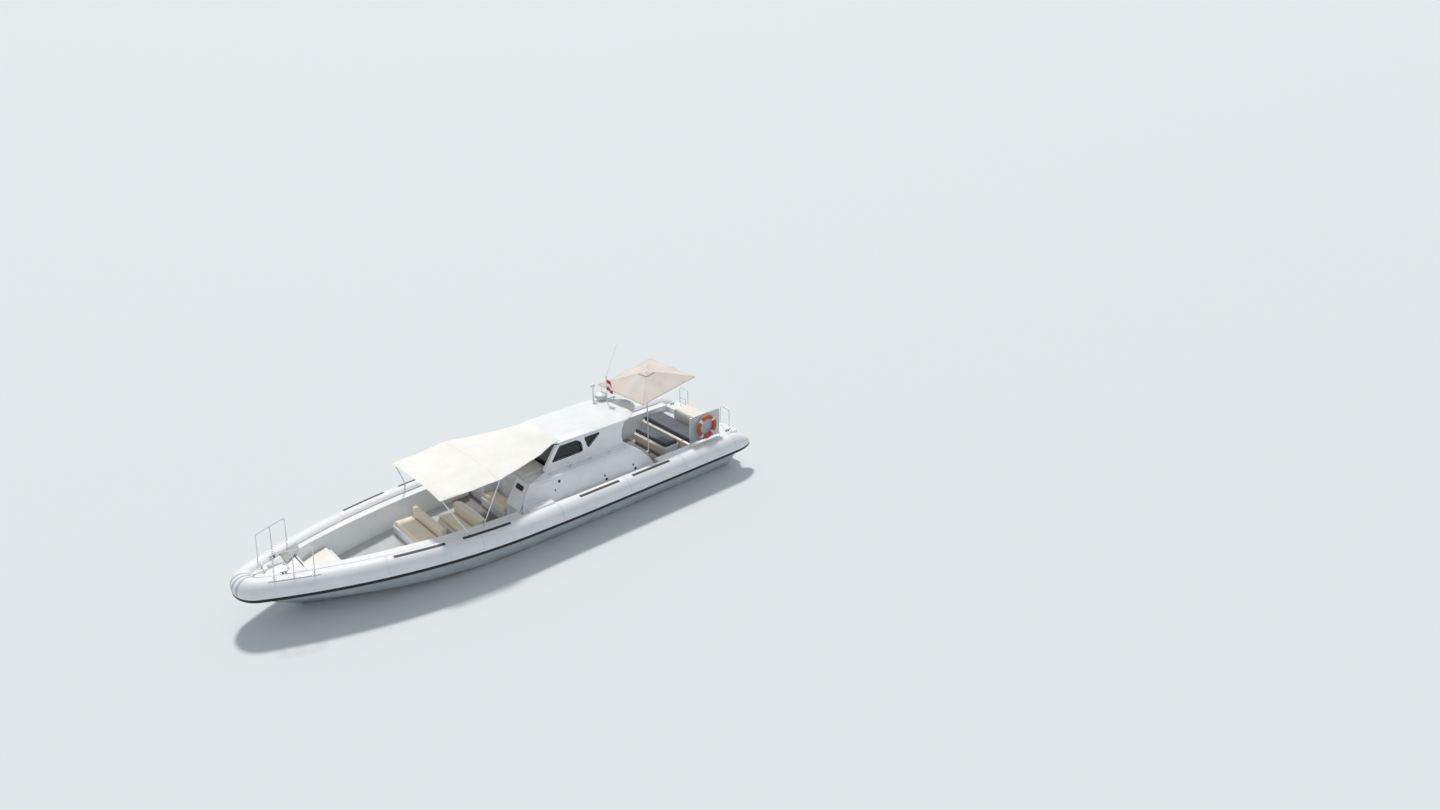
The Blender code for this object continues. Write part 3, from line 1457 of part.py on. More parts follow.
def parasol_canopy():
    """A four-sided canopy, tipped a little towards the port bow on its pole."""
    outer, inner = [], []
    drop = PARASOL_TOP_Z - PARASOL_EDGE_Z
    for share in PARASOL_SHARES:
        z = -drop * share**PARASOL_POWER_SHARE
        outer.append(parasol_ring(share, z))
        inner.append(parasol_ring(share, z - PARASOL_T * 1.5))
    item = loft("parasol_canopy", outer + list(reversed(inner)), CANVAS)
    item.location = (PARASOL_X, PARASOL_Y, PARASOL_TOP_Z)
    lean = Matrix.Rotation(PARASOL_TILT, 4, Vector((-1.0, 1.0, 0.0)).normalized())
    item.rotation_euler = (lean @ Matrix.Rotation(PARASOL_TURN, 4, "Z")).to_euler()
    return item


def radar():
    x, y = RADAR_SPOT
    mesh = bpy.data.meshes.new("radar_dome")
    z = ROOF_TOP_Z + GAP
    shares = [(0.0, 1.0), (0.6, 0.96), (0.9, 0.8), (1.0, 0.55), (0.96, 0.3), (0.6, 0.24), (0.5, 0), (0, 0)]
    profile = [(RADAR_R * out, z + RADAR_H * rise) for out, rise in shares]
    mesh.from_pydata([(r, 0.0, h) for r, h in profile], [(i, i + 1) for i in range(len(profile) - 1)], [])
    item = bpy.data.objects.new("radar_dome", mesh)
    boat.objects.link(item)
    item.location = (x, y, 0.0)
    turn = item.modifiers.new("turn", "SCREW")
    turn.steps = turn.render_steps = 24
    turn.use_merge_vertices = True
    turn.merge_threshold = 0.0001
    return keep(item, GELCOAT)


def mast():
    """A short mast on the roof, with a forked head that carries the whip."""
    x, y = MAST_SPOT
    top, r = MAST_TOP_Z, MAST_HEAD_R
    pole = rod("pole", (x, y, ROOF_TOP_Z + GAP), (x, y, top), MAST_R, 12)
    tools = [box("socket", (x - r, y - r, top - MAST_SOCKET_H), (x + r, y + r, top), DARK)]
    for side in (-1, 1):
        low, high = sorted((y + side * (r - MAST_CHEEK_T), y + side * r))
        near, far = (x - MAST_CHEEK_X, low, top - BLEND_IN), (x + MAST_CHEEK_X, high, top + MAST_CHEEK_H)
        tools.append(box("cheek", near, far, DARK))
    return combine("antenna_mast", pole, tools, "UNION", GELCOAT)


def whip():
    """The whip and the barrel that it folds on, between the cheeks of the mast's head."""
    foot = Vector((*MAST_SPOT, MAST_TOP_Z + WHIP_PIVOT_H))
    along = Vector((-math.sin(WHIP_RAKE), 0.0, math.cos(WHIP_RAKE)))
    half = Vector((0.0, MAST_HEAD_R - MAST_CHEEK_T - GAP, 0.0))
    barrel = rod("barrel", foot - half, foot + half, WHIP_BARREL_R, 16)
    ferrule = rod("ferrule", foot, foot + along * WHIP_FERRULE_L, WHIP_R, 12)
    mast_rod = rod("rod", foot + along * (WHIP_FERRULE_L - WHIP_R), foot + along * WHIP_L, WHIP_R * 0.5, 8)
    return pivot(combine("vhf_antenna", barrel, [ferrule, mast_rod], "UNION", GELCOAT), foot)


def ensign():
    """The flag's cloth, hanging beside the mast."""
    x, y = MAST_SPOT
    top = MAST_TOP_Z - FLAG_DROP
    near = y + MAST_R + GAP
    rings = []
    for z in (top, top - FLAG_H):
        rings.append([
            (x - FLAG_T / 2, near, z), (x + FLAG_T / 2, near, z),
            (x + FLAG_T / 2, near + FLAG_W, z - FLAG_SLOPE), (x - FLAG_T / 2, near + FLAG_W, z - FLAG_SLOPE),
        ])
    return loft("ensign", rings, RED)


def build():
    collar()
    rub_strake()
    bottom = hull()
    bpy.context.view_layer.update()
    bottom.data = bpy.data.meshes.new_from_object(
        bottom.evaluated_get(bpy.context.evaluated_depsgraph_get())
    )
    bottom.modifiers.clear()
    combine("hull", bottom, housings(), "UNION", HULL_PAINT)
    deck_sole()
    fore_moulding()
    bow_pad()
    foredeck()
    locker_lid()
    aft_moulding()
    trunk()
    trunk_pad()
    trunk_rail()
    windscreen()
    roof()
    helm_bulkhead()
    cabin_door()
    helm_console()
    steering_wheel()
    helm_seat()
    seat_base("fore_seat_base", FORE_SEAT)
    seat_cushion("fore_seat_cushion", FORE_SEAT, True, CREAM)
    seat_base("mid_seat_base", MID_SEAT)
    seat_cushion("mid_seat_cushion", MID_SEAT, True, CREAM)
    seat_cushion("trunk_seat_cushion", TRUNK_SEAT, False, CREAM)
    seat_base("aft_bench", AFT_BENCH)
    seat_cushion("aft_bench_cushion", AFT_BENCH, False, SLATE)
    hatch()
    hatch_pad("sunpad", SUNPAD_X, SUNPAD_Y, SUNPAD_T, SLATE)
    hatch_pad("stern_pad", STERN_PAD_X, STERN_PAD_Y, STERN_PAD_T, CREAM)
    quarter_screen()
    lifebuoy()
    swim_platform()
    ladder()
    awning()
    foot_x, head_x = FORE_BOW_X
    foot_z = tube_z(foot_x) + tube_r(foot_x) + FOOT_GAP
    awning_bow("fore_awning_bow", offset_point(station_at(foot_x), 0.0, foot_z), head_x)
    foot_x, head_x = MID_BOW_X
    foot_z = tube_z(foot_x) + RIM_TOP + FOOT_GAP
    awning_bow("mid_awning_bow", offset_point(station_at(foot_x), -MID_BOW_OUT, foot_z), head_x)
    parasol_pole()
    parasol_canopy()
    radar()
    mast()
    whip()
    ensign()
    for word, side in (("port", 1.0), ("starboard", -1.0)):
        pulpit(f"pulpit_{word}", side)
        cabin_side(f"cabin_side_{word}", side)
        glazing(f"side_glazing_{word}", side)
        handrail(f"handrail_{word}", side)
        engine(f"engine_{word}", side)
        stern_hoop(f"stern_hoop_{word}", side)
        gimbal(f"drive_gimbal_{word}", side)
        drive_leg(f"drive_leg_{word}", side)
        propeller(f"propeller_{word}", side)


build()
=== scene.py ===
# %% [markdown]
# A rigid inflatable boat is a stiff glass-fibre hull with an air-filled collar bonded round its edge.
# This lesson dresses a packed boat of that kind: the moulded parts keep their own form and get real
# finishes, and everything soft, from collar to cushions, is worked out as new surfaces.
# The boat floats, so the plane z = 0 is its waterline and also the studio floor.

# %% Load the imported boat
import json
import math

import bmesh
import bpy
import numpy as np
from mathutils import Matrix, Vector
from mathutils.bvhtree import BVHTree


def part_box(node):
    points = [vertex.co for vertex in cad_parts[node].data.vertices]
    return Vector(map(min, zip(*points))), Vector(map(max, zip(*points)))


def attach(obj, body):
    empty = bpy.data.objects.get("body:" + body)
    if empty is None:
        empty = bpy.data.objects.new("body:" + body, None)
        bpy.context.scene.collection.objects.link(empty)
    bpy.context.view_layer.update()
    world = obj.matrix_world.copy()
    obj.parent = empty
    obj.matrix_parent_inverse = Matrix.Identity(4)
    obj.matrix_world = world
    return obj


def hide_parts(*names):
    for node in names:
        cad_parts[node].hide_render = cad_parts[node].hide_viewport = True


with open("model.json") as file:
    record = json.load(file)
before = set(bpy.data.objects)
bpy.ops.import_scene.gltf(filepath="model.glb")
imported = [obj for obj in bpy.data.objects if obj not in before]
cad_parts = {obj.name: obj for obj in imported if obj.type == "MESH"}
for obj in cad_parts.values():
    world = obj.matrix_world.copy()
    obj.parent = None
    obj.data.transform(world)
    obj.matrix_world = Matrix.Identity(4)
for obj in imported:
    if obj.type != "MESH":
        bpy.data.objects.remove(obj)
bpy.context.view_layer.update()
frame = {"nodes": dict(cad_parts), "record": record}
body_of_node = {n: b for b, ns in frame["record"]["behaviour"]["bodies"].items() for n in ns}
slot_of_node = {p["node"]: p["material_slot"] for p in frame["record"]["subparts"]}

# %% [markdown]
# The camera comes first, because it decides what has to look right. It stands high off the port bow,
# like a camera on a low headland, and looks down on the boat at about 24 degrees. A camera's axes are
# the columns of its matrix: right, up and, because it looks along its own -Z, the reverse of its view.

# %% Camera
PHOTO_WIDTH = 1440
FOCAL_PX = 977.2
SENSOR = 36.0
CAMERA_PLACE = (11.536, 20.754, 13.998)
PITCH, HEADING, ROLL = math.radians(24.44), math.radians(-132.75), math.radians(0.61)
CLIP_END = 3000.0

view_dir = np.array([
    math.cos(HEADING) * math.cos(PITCH), math.sin(HEADING) * math.cos(PITCH), -math.sin(PITCH)])
level = np.array([math.sin(HEADING), -math.cos(HEADING), 0.0])
lift = np.cross(level, view_dir)
right = level * math.cos(ROLL) + lift * math.sin(ROLL)
up = lift * math.cos(ROLL) - level * math.sin(ROLL)

lens = bpy.data.cameras.new("headland")
lens.sensor_width = SENSOR
lens.lens = FOCAL_PX / PHOTO_WIDTH * SENSOR
lens.clip_end = CLIP_END
camera = bpy.data.objects.new("headland", lens)
bpy.context.scene.collection.objects.link(camera)
camera.matrix_world = Matrix([
    (right[i], up[i], -view_dir[i], CAMERA_PLACE[i]) for i in range(3)
] + [(0.0, 0.0, 0.0, 1.0)])
bpy.context.scene.camera = camera
print("lens", round(lens.lens, 2), "mm")

# %% [markdown]
# Colours are chosen as sRGB hex codes, as on a paint card, but the renderer adds up light, which
# needs linear values. One function turns the first into the second. A second small function adds a
# shader node, so that a finish reads as a list of what feeds what.

# %% Colour and node helpers


def linear(code):
    """Linear RGBA of an sRGB hex colour: s/12.92 below 0.04045, else ((s + 0.055)/1.055) to the 2.4."""
    s = np.array([int(code[i : i + 2], 16) for i in (1, 3, 5)]) / 255
    return (*np.where(s <= 0.04045, s / 12.92, ((s + 0.055) / 1.055) ** 2.4).tolist(), 1.0)


def add(tree, kind, inputs=None, **settings):
    """Adds a node, applies its settings, and sets or links each input by its name or number."""
    made = tree.nodes.new(kind)
    for key, value in settings.items():
        setattr(made, key, value)
    for key, value in (inputs or {}).items():
        if isinstance(value, bpy.types.NodeSocket):
            tree.links.new(value, made.inputs[key])
        else:
            made.inputs[key].default_value = value
    return made


def finish(name, roughness, metallic=0.0, **sockets):
    """A new Principled finish: its tree, its shader and the Object coordinates that patterns read."""
    made = bpy.data.materials.new(name)
    made.use_nodes = True
    tree = made.node_tree
    shader = tree.nodes["Principled BSDF"]
    shader.inputs["Roughness"].default_value = roughness
    shader.inputs["Metallic"].default_value = metallic
    for key, value in sockets.items():
        shader.inputs[key.replace("_", " ")].default_value = value
    place = add(tree, "ShaderNodeTexCoord").outputs["Object"]
    return made, tree, shader, place


def noise(tree, place, size, detail=3.0, rough=0.55):
    """Cloudy noise whose features are about `size` metres across."""
    return add(tree, "ShaderNodeTexNoise", {
        "Vector": place, "Scale": 1.0 / size, "Detail": detail, "Roughness": rough}).outputs["Fac"]


def between(tree, factor, codes, stops):
    """A colour ramp of hex colours at the given stops of a factor."""
    ramp = add(tree, "ShaderNodeValToRGB", {"Fac": factor})
    while len(ramp.color_ramp.elements) < len(codes):
        ramp.color_ramp.elements.new(0.5)
    for element, code, stop in zip(ramp.color_ramp.elements, codes, stops):
        element.position = stop
        element.color = linear(code)
    return ramp.outputs["Color"]


def spread(tree, factor, low, high):
    """Maps 0..1 to low..high, for a roughness that varies."""
    return add(tree, "ShaderNodeMapRange", {"Value": factor, "To Min": low, "To Max": high}).outputs["Result"]


def bump(tree, shader, height, depth, strength=1.0):
    """Feeds a height pattern, `depth` metres tall, to the shader's normal."""
    made = add(tree, "ShaderNodeBump", {"Height": height, "Distance": depth, "Strength": strength})
    tree.links.new(made.outputs["Normal"], shader.inputs["Normal"])


print("white card", [round(v, 3) for v in linear("#F4F4F2")[:3]])

# %% [markdown]
# Gelcoat is the pigmented resin that is sprayed into the mould first, so it comes out as smooth as the
# mould: glossy, a little wavy, and slightly duller where it has been rubbed. The hull's is the same stuff
# in pale grey, with painted shade and a painted green reflection of the water along its lower part.

# %% Gelcoat
CLOUD, SCUFF, PEEL, PEEL_DEPTH = 0.9, 0.50, 0.30, 0.0003
# The lower hull is painted darker and greener: painted shade and a painted reflection of the green water.
WATER_SHADE_LOW, WATER_SHADE_HIGH, WATER_SHADE_SHARE, WATER_SHADE_RAGGED = -0.50, -0.30, 0.45, 0.25


def gelcoat(name, codes, roughness, water_shade=False):
    """Moulded gelcoat: broad clouds of two near colours, a varying gloss, and a faint orange peel."""
    made, tree, shader, place = finish(name, roughness, Coat_Weight=0.25, Coat_Roughness=0.12)
    clouds = noise(tree, place, CLOUD)
    colour = between(tree, clouds, codes, (0.35, 0.65))
    if water_shade:
        # Painted shade and painted water reflection: towards the waterline the colour is mixed with a darker
        # olive grey, along a ragged edge.
        height = add(tree, "ShaderNodeSeparateXYZ", {"Vector": place}).outputs["Z"]
        ragged = add(tree, "ShaderNodeMath", {0: height, 1: noise(tree, place, WATER_SHADE_RAGGED)},
                     operation="SUBTRACT")
        near = add(tree, "ShaderNodeMapRange", {
            "Value": ragged.outputs["Value"], "From Min": WATER_SHADE_LOW, "From Max": WATER_SHADE_HIGH,
            "To Min": WATER_SHADE_SHARE, "To Max": 0.0})
        colour = add(tree, "ShaderNodeMixRGB", {
            "Fac": near.outputs["Result"], "Color1": colour, "Color2": linear("#8E9482")}).outputs["Color"]
    tree.links.new(colour, shader.inputs["Base Color"])
    scuffs = noise(tree, place, SCUFF, detail=2.0)
    tree.links.new(spread(tree, scuffs, roughness * 0.85, roughness * 1.25), shader.inputs["Roughness"])
    bump(tree, shader, noise(tree, place, PEEL, detail=1.0), PEEL_DEPTH, 0.1)
    return made


GELCOAT = gelcoat("white_gelcoat", ("#E9ECEE", "#F3F4F4"), 0.26)
HULL_GELCOAT = gelcoat("grey_hull_gelcoat", ("#B9C1C6", "#C6CDD1"), 0.30, water_shade=True)
print("gelcoats", GELCOAT.name, HULL_GELCOAT.name)

# %% [markdown]
# The collar is cut from fabric coated with synthetic rubber. It has a satin face that scatters light
# softly, an extremely fine weave that shows only as a faint tooth, and grey scuffs where it is stepped on.
# The real threads are about half a millimetre apart, which no render from here can show, so the weave is
# drawn about ten times as coarse.

# %% Coated tube fabric, rubber and grip strip
WEAVE = 0.005


def woven(tree, place, pitch):
    """Two crossed sets of threads: the larger of two squared sine waves of that pitch."""
    waves = []
    for axis in ("X", "Z"):
        band = add(tree, "ShaderNodeTexWave", {"Vector": place, "Scale": 0.31 / pitch, "Distortion": 0.4},
                   wave_type="BANDS", bands_direction=axis)
        waves.append(band.outputs["Fac"])
    return add(tree, "ShaderNodeMath", {0: waves[0], 1: waves[1]}, operation="MAXIMUM").outputs["Value"]


def tube_fabric(name, codes, roughness=0.50):
    """Rubber-coated fabric: soft clouds of two shades, scuffs, and a woven tooth."""
    made, tree, shader, place = finish(name, roughness, Sheen_Weight=0.12, Sheen_Roughness=0.5)
    scuffs = noise(tree, place, 0.5, detail=8.0, rough=0.6)
    tree.links.new(between(tree, scuffs, codes, (0.25, 0.45, 0.75)), shader.inputs["Base Color"])
    tree.links.new(spread(tree, scuffs, roughness - 0.08, roughness + 0.12), shader.inputs["Roughness"])
    bump(tree, shader, woven(tree, place, WEAVE), 0.0004, 0.5)
    return made


def rubber(name, code, worn):
    """Moulded rubber: dull, speckled with paler wear."""
    made, tree, shader, place = finish(name, 0.62)
    wear = noise(tree, place, 0.06, detail=7.0, rough=0.65)
    tree.links.new(between(tree, wear, (code, code, worn), (0.0, 0.55, 0.85)), shader.inputs["Base Color"])
    bump(tree, shader, noise(tree, place, 0.008, detail=2.0), 0.0008, 0.5)
    return made


COLLAR_FABRIC = tube_fabric("coated_tube_fabric", ("#D9DDE2", "#E6E9ED", "#EDEFF2"))
TAPE_FABRIC = tube_fabric("seam_tape", ("#CFD4DA", "#DCE0E5", "#E4E7EB"), 0.55)
STRAP_FABRIC = tube_fabric("nose_strap", ("#A9AEB3", "#B7BBC0", "#C2C6CA"), 0.55)
BOND_FABRIC = tube_fabric("bonding_tape", ("#EDEFF1", "#F3F4F5", "#F8F8F8"), 0.45)
BLACK_RUBBER = rubber("black_rubber", "#15171B", "#2C2F35")
# Painted shade: a grey strip where the collar meets the deck.
SHADE_LINE_RUBBER = rubber("grey_shade_line_rubber", "#8B8F94", "#A5A9AD")
GRIP_RUBBER = rubber("grip_strip_rubber", "#33312F", "#4B4845")
print("weave drawn at", WEAVE * 1000, "mm")

# %% [markdown]
# Upholstery on a boat is coated vinyl. Its grain is embossed by a roller into small cells of a few
# millimetres, which catch the light as a fine mottle, and the coating has a mild sheen.

# %% Upholstery vinyl
GRAIN = 0.006


def vinyl(name, codes, roughness=0.48):
    """Embossed vinyl: cells from Voronoi distance as grain, over slow changes of shade."""
    made, tree, shader, place = finish(name, roughness, Sheen_Weight=0.15, Sheen_Roughness=0.4)
    shade = noise(tree, place, 0.35, detail=5.0)
    tree.links.new(between(tree, shade, codes, (0.3, 0.7)), shader.inputs["Base Color"])
    cells = add(tree, "ShaderNodeTexVoronoi", {"Vector": place, "Scale": 1.0 / GRAIN},
                feature="DISTANCE_TO_EDGE")
    creased = noise(tree, place, 0.08, detail=4.0)
    folds = add(tree, "ShaderNodeMath", {0: cells.outputs["Distance"], 1: creased}, operation="ADD")
    bump(tree, shader, folds.outputs["Value"], 0.0016, 0.5)
    return made


CREAM_VINYL = vinyl("cream_vinyl", ("#EEE0C6", "#F6EBD7"))
WHITE_VINYL = vinyl("off_white_vinyl", ("#E4E0D6", "#EFECE4"))
SLATE_VINYL = vinyl("slate_vinyl", ("#333C48", "#454B58"))
print("vinyls", len([m for m in bpy.data.materials if "vinyl" in m.name]))

# %% [markdown]
# The sole's mats are grey foam with grooves along the boat, the awning is acrylic canvas, and the parasol
# a sandy polyester. Cloth shows its threads only up close, so these weaves are drawn coarse as well, and it
# lets a little light through, which a thin sheet shows as a paler underside.

# %% Deck covering and canvas
GROOVE, GROOVE_SHARE = 0.045, 0.12


def deck_foam(name, codes):
    """Foam decking: fine speckle, and straight grooves across every GROOVE metres."""
    made, tree, shader, place = finish(name, 0.85)
    speckle = noise(tree, place, 0.01, detail=4.0)
    shade = between(tree, speckle, codes, (0.3, 0.7))
    across = add(tree, "ShaderNodeSeparateXYZ", {"Vector": place}).outputs["Y"]
    turns = add(tree, "ShaderNodeMath", {0: across, 1: 1.0 / GROOVE}, operation="MULTIPLY").outputs["Value"]
    saw = add(tree, "ShaderNodeMath", {0: turns}, operation="FRACT").outputs["Value"]
    line = add(tree, "ShaderNodeMath", {0: saw, 1: GROOVE_SHARE}, operation="LESS_THAN").outputs["Value"]
    grooved = add(tree, "ShaderNodeMixRGB", {"Fac": line, "Color1": shade, "Color2": linear("#5A5855")})
    tree.links.new(grooved.outputs["Color"], shader.inputs["Base Color"])
    bump(tree, shader, speckle, 0.0015, 0.6)
    return made


def canvas(name, codes, pitch=0.004):
    """Woven cloth: two crossed threads as bump, soft clouds as colour, and some light let through."""
    made, tree, shader, place = finish(name, 0.82, Sheen_Weight=0.2, Sheen_Roughness=0.6)
    clouds = noise(tree, place, 0.6, detail=5.0)
    tree.links.new(between(tree, clouds, codes, (0.35, 0.65)), shader.inputs["Base Color"])
    shader.inputs["Subsurface Weight"].default_value = 0.08
    bump(tree, shader, woven(tree, place, pitch), 0.0006, 0.4)
    return made


DECK_FOAM = deck_foam("grey_deck_foam", ("#7E7C79", "#949290"))
AWNING_CANVAS = canvas("white_acrylic_canvas", ("#F4EFE7", "#FAF6EF"))
PARASOL_CLOTH = canvas("sand_polyester", ("#D8CCC1", "#E2D8CF"))
PARASOL_SEAM = canvas("sand_webbing", ("#C6BAAE", "#D2C7BC"))
print("cloths", AWNING_CANVAS.name, PARASOL_CLOTH.name)

# %% [markdown]
# Rails are polished stainless tube, which mirrors its surroundings in a slightly brushed way. The drives
# are grey enamel, the propellers cast bronze, and the windows dark tinted acrylic.

# %% Metals, plastics and glazing


def metal(name, code, roughness):
    """Polished metal, its gloss broken by fine scratches."""
    made, tree, shader, place = finish(name, roughness, metallic=1.0, Base_Color=linear(code))
    scratches = noise(tree, place, 0.02, detail=8.0, rough=0.7)
    tree.links.new(spread(tree, scratches, roughness * 0.6, roughness * 1.8), shader.inputs["Roughness"])
    return made


def moulded(name, codes, roughness, grain=0.004):
    """Moulded or enamelled plastic and metal: fine mottle and a pebbled grain."""
    made, tree, shader, place = finish(name, roughness)
    mottle = noise(tree, place, 0.15, detail=4.0)
    tree.links.new(between(tree, mottle, codes, (0.3, 0.7)), shader.inputs["Base Color"])
    bump(tree, shader, noise(tree, place, grain, detail=2.0), 0.0005, 0.4)
    return made


def tinted(name, code):
    """Dark acrylic: some light passes, tinted, and the face is a smooth mirror."""
    made, tree, shader, place = finish(
        name, 0.06, Base_Color=linear(code), Transmission_Weight=0.55, IOR=1.49)
    tree.links.new(spread(tree, noise(tree, place, 0.2, detail=5.0), 0.03, 0.10), shader.inputs["Roughness"])
    return made


STAINLESS = metal("polished_stainless", "#D6D8DB", 0.16)
BRONZE = metal("cast_bronze", "#B48A4C", 0.30)
ENAMEL = moulded("grey_drive_enamel", ("#8F959B", "#A3A8AD"), 0.35)
ENGINE_ENAMEL = moulded("engine_enamel", ("#4C5157", "#5D6269"), 0.5)
BLACK_PLASTIC = moulded("black_plastic", ("#17181A", "#26282B"), 0.45)
WHITE_PLASTIC = moulded("white_plastic", ("#E6E8E9", "#F1F2F2"), 0.38)
ORANGE_SHELL = moulded("orange_buoy_shell", ("#B24A26", "#C65E36"), 0.5)
BAND_TAPE = moulded("white_band_tape", ("#DEDDD8", "#ECEBE7"), 0.6)
WINDOW_TINT = tinted("tinted_acrylic", "#20262A")
# Painted shade: the grey of the starboard coaming's shaded inner wall, laid as a sheet on the foredeck.
SHADE_SHEET_GREY = moulded("painted_shade_grey", ("#A3A4A2", "#B2B3B1"), 0.8)
NONSKID = moulded("nonskid_gelcoat", ("#B6B8B9", "#C4C6C7"), 0.72, grain=0.007)
FROSTED_PANE = moulded("frosted_pane", ("#CBD3D9", "#D6DDE2"), 0.30)
FROSTED_PANE.node_tree.nodes["Principled BSDF"].inputs["Transmission Weight"].default_value = 0.5
print("finishes", len(bpy.data.materials))

# %% [markdown]
# The moulded parts already have the right form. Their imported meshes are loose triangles, so each is
# copied and welded, its flat faces are merged, and a narrow bevel rounds its edges, because a perfectly
# sharp edge never catches the light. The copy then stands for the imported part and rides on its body.

# %% Dress a moulded part
WELD = 2e-5
FLAT = math.radians(0.05)


def keep(made, material, body, stands_for=()):
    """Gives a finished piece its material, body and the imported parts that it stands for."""
    made.data.materials.clear()
    made.data.materials.append(material)
    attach(made, body)
    if stands_for:
        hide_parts(*stands_for)
    return made


def placed(name, mesh):
    """A new object for a mesh, in the scene."""
    made = bpy.data.objects.new(name, mesh)
    bpy.context.scene.collection.objects.link(made)
    return made


def box_of(node):
    """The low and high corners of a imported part, as arrays."""
    return tuple(np.array(corner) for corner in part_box(node))


def rounded(made, width, segments=2):
    """Rounds a piece's sharp edges."""
    edge = made.modifiers.new("rounded edges", "BEVEL")
    edge.width, edge.segments = width, segments
    return edge


def thickened(made, thickness, offset=-1.0):
    """Gives a sheet its thickness, all to its inner side unless the offset says otherwise."""
    layer = made.modifiers.new("thickness", "SOLIDIFY")
    layer.thickness, layer.offset = thickness, offset


def welded(node):
    """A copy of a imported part's mesh with its loose triangles joined and flat faces merged."""
    form = bmesh.new()
    form.from_mesh(frame["nodes"][node].data)
    bmesh.ops.remove_doubles(form, verts=form.verts, dist=WELD)
    bmesh.ops.dissolve_limit(form, angle_limit=FLAT, verts=form.verts, edges=form.edges)
    mesh = bpy.data.meshes.new(node + "_finished")
    form.to_mesh(mesh)
    form.free()
    return mesh


def dressed(node, material, bevel=0.0, sharp=32):
    """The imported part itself, welded, smooth where it is curved, and with rounded edges."""
    made = placed(node + "_finished", welded(node))
    made.data.shade_smooth()
    made.data.set_sharp_from_angle(angle=math.radians(sharp))
    if bevel:
        edge = rounded(made, bevel)
        edge.limit_method = "ANGLE"
        edge.angle_limit = math.radians(sharp)
        edge.harden_normals = True
    return keep(made, material, body_of_node[node], (node,))


MOULDINGS = {
    # part: finish, bevel
    "hull": (HULL_GELCOAT, 0.006),
    "deck_sole": (NONSKID, 0.0),
    "fore_cockpit_moulding": (GELCOAT, 0.008),
    "foredeck": (GELCOAT, 0.006),
    "anchor_locker_lid": (GELCOAT, 0.0),
    "aft_cockpit_moulding": (GELCOAT, 0.008),
    "trunk_moulding": (GELCOAT, 0.010),
    "cabin_side_port": (GELCOAT, 0.008),
    "cabin_side_starboard": (GELCOAT, 0.008),
    "wheelhouse_roof": (GELCOAT, 0.0),
    "helm_bulkhead": (GELCOAT, 0.004),
    "cabin_door": (WHITE_PLASTIC, 0.0),
    "helm_console": (BLACK_PLASTIC, 0.0),
    "steering_wheel": (BLACK_PLASTIC, 0.0),
    "fore_seat_base": (GELCOAT, 0.0),
    "mid_seat_base": (GELCOAT, 0.0),
    "aft_bench": (GELCOAT, 0.0),
    "engine_hatch": (GELCOAT, 0.0),
    "swim_platform": (GELCOAT, 0.006),
    "windscreen": (WINDOW_TINT, 0.0),
    "side_glazing_port": (WINDOW_TINT, 0.0),
    "side_glazing_starboard": (WINDOW_TINT, 0.0),
    "radar_dome": (WHITE_PLASTIC, 0.0),
    "antenna_mast": (WHITE_PLASTIC, 0.0),
    "vhf_antenna": (WHITE_PLASTIC, 0.0),
    "engine_port": (ENGINE_ENAMEL, 0.012),
    "engine_starboard": (ENGINE_ENAMEL, 0.012),
}
for word in ("port", "starboard"):
    MOULDINGS[f"drive_gimbal_{word}"] = (ENAMEL, 0.004)
    MOULDINGS[f"drive_leg_{word}"] = (ENAMEL, 0.003)
    MOULDINGS[f"propeller_{word}"] = (BRONZE, 0.0)
RAILS = ["boarding_ladder", "trunk_rail", "fore_awning_bow", "mid_awning_bow", "parasol_pole"]
RAILS += [f"{kind}_{word}" for kind in ("pulpit", "handrail", "stern_hoop") for word in ("port", "starboard")]
MOULDINGS.update({name: (STAINLESS, 0.0) for name in RAILS})
finished = {name: dressed(name, *given) for name, given in MOULDINGS.items()}
print("dressed parts", len(finished))

# %% [markdown]
# Most new surfaces here are a profile carried along a path. At each point of the path there is an
# outward and an upward direction, and a profile point (a, b) lands at centre + a * out + b * up. The
# whole grid is one array sum, and one function then turns a grid of points into a mesh.

# %% Grid to mesh


def skin(name, grid, wrap=True, caps=True):
    """A mesh of quads over a grid of points, rows by columns: wrap joins the last column to the first."""
    rows, cols = grid.shape[:2]
    index = np.arange(rows * cols).reshape(rows, cols)
    here = index if wrap else index[:, :-1]
    after = np.roll(index, -1, axis=1) if wrap else index[:, 1:]
    quads = np.stack([here[:-1], after[:-1], after[1:], here[1:]], axis=-1).reshape(-1, 4).tolist()
    if wrap and caps:
        quads += [index[0, ::-1].tolist(), index[-1].tolist()]
    mesh = bpy.data.meshes.new(name)
    mesh.from_pydata(grid.reshape(-1, 3), [], quads)
    form = bmesh.new()
    form.from_mesh(mesh)
    bmesh.ops.remove_doubles(form, verts=form.verts, dist=WELD)
    bmesh.ops.recalc_face_normals(form, faces=form.faces)
    form.to_mesh(mesh)
    form.free()
    mesh.shade_smooth()
    mesh.set_sharp_from_angle(angle=math.radians(40))
    return placed(name, mesh)


def carried(profile, centres, outs, ups):
    """Profile points (a, b) at every path point: centre + a * out + b * up."""
    a, b = np.moveaxis(np.asarray(profile, float), -1, 0)
    a, b = np.atleast_2d(a)[..., None], np.atleast_2d(b)[..., None]
    return centres[:, None] + a * outs[:, None] + b * ups[:, None]


def circle(radius, sides=16):
    """Points of a circle, anticlockwise."""
    turn = np.arange(sides) * 2 * np.pi / sides
    return radius * np.stack([np.cos(turn), np.sin(turn)], axis=-1)


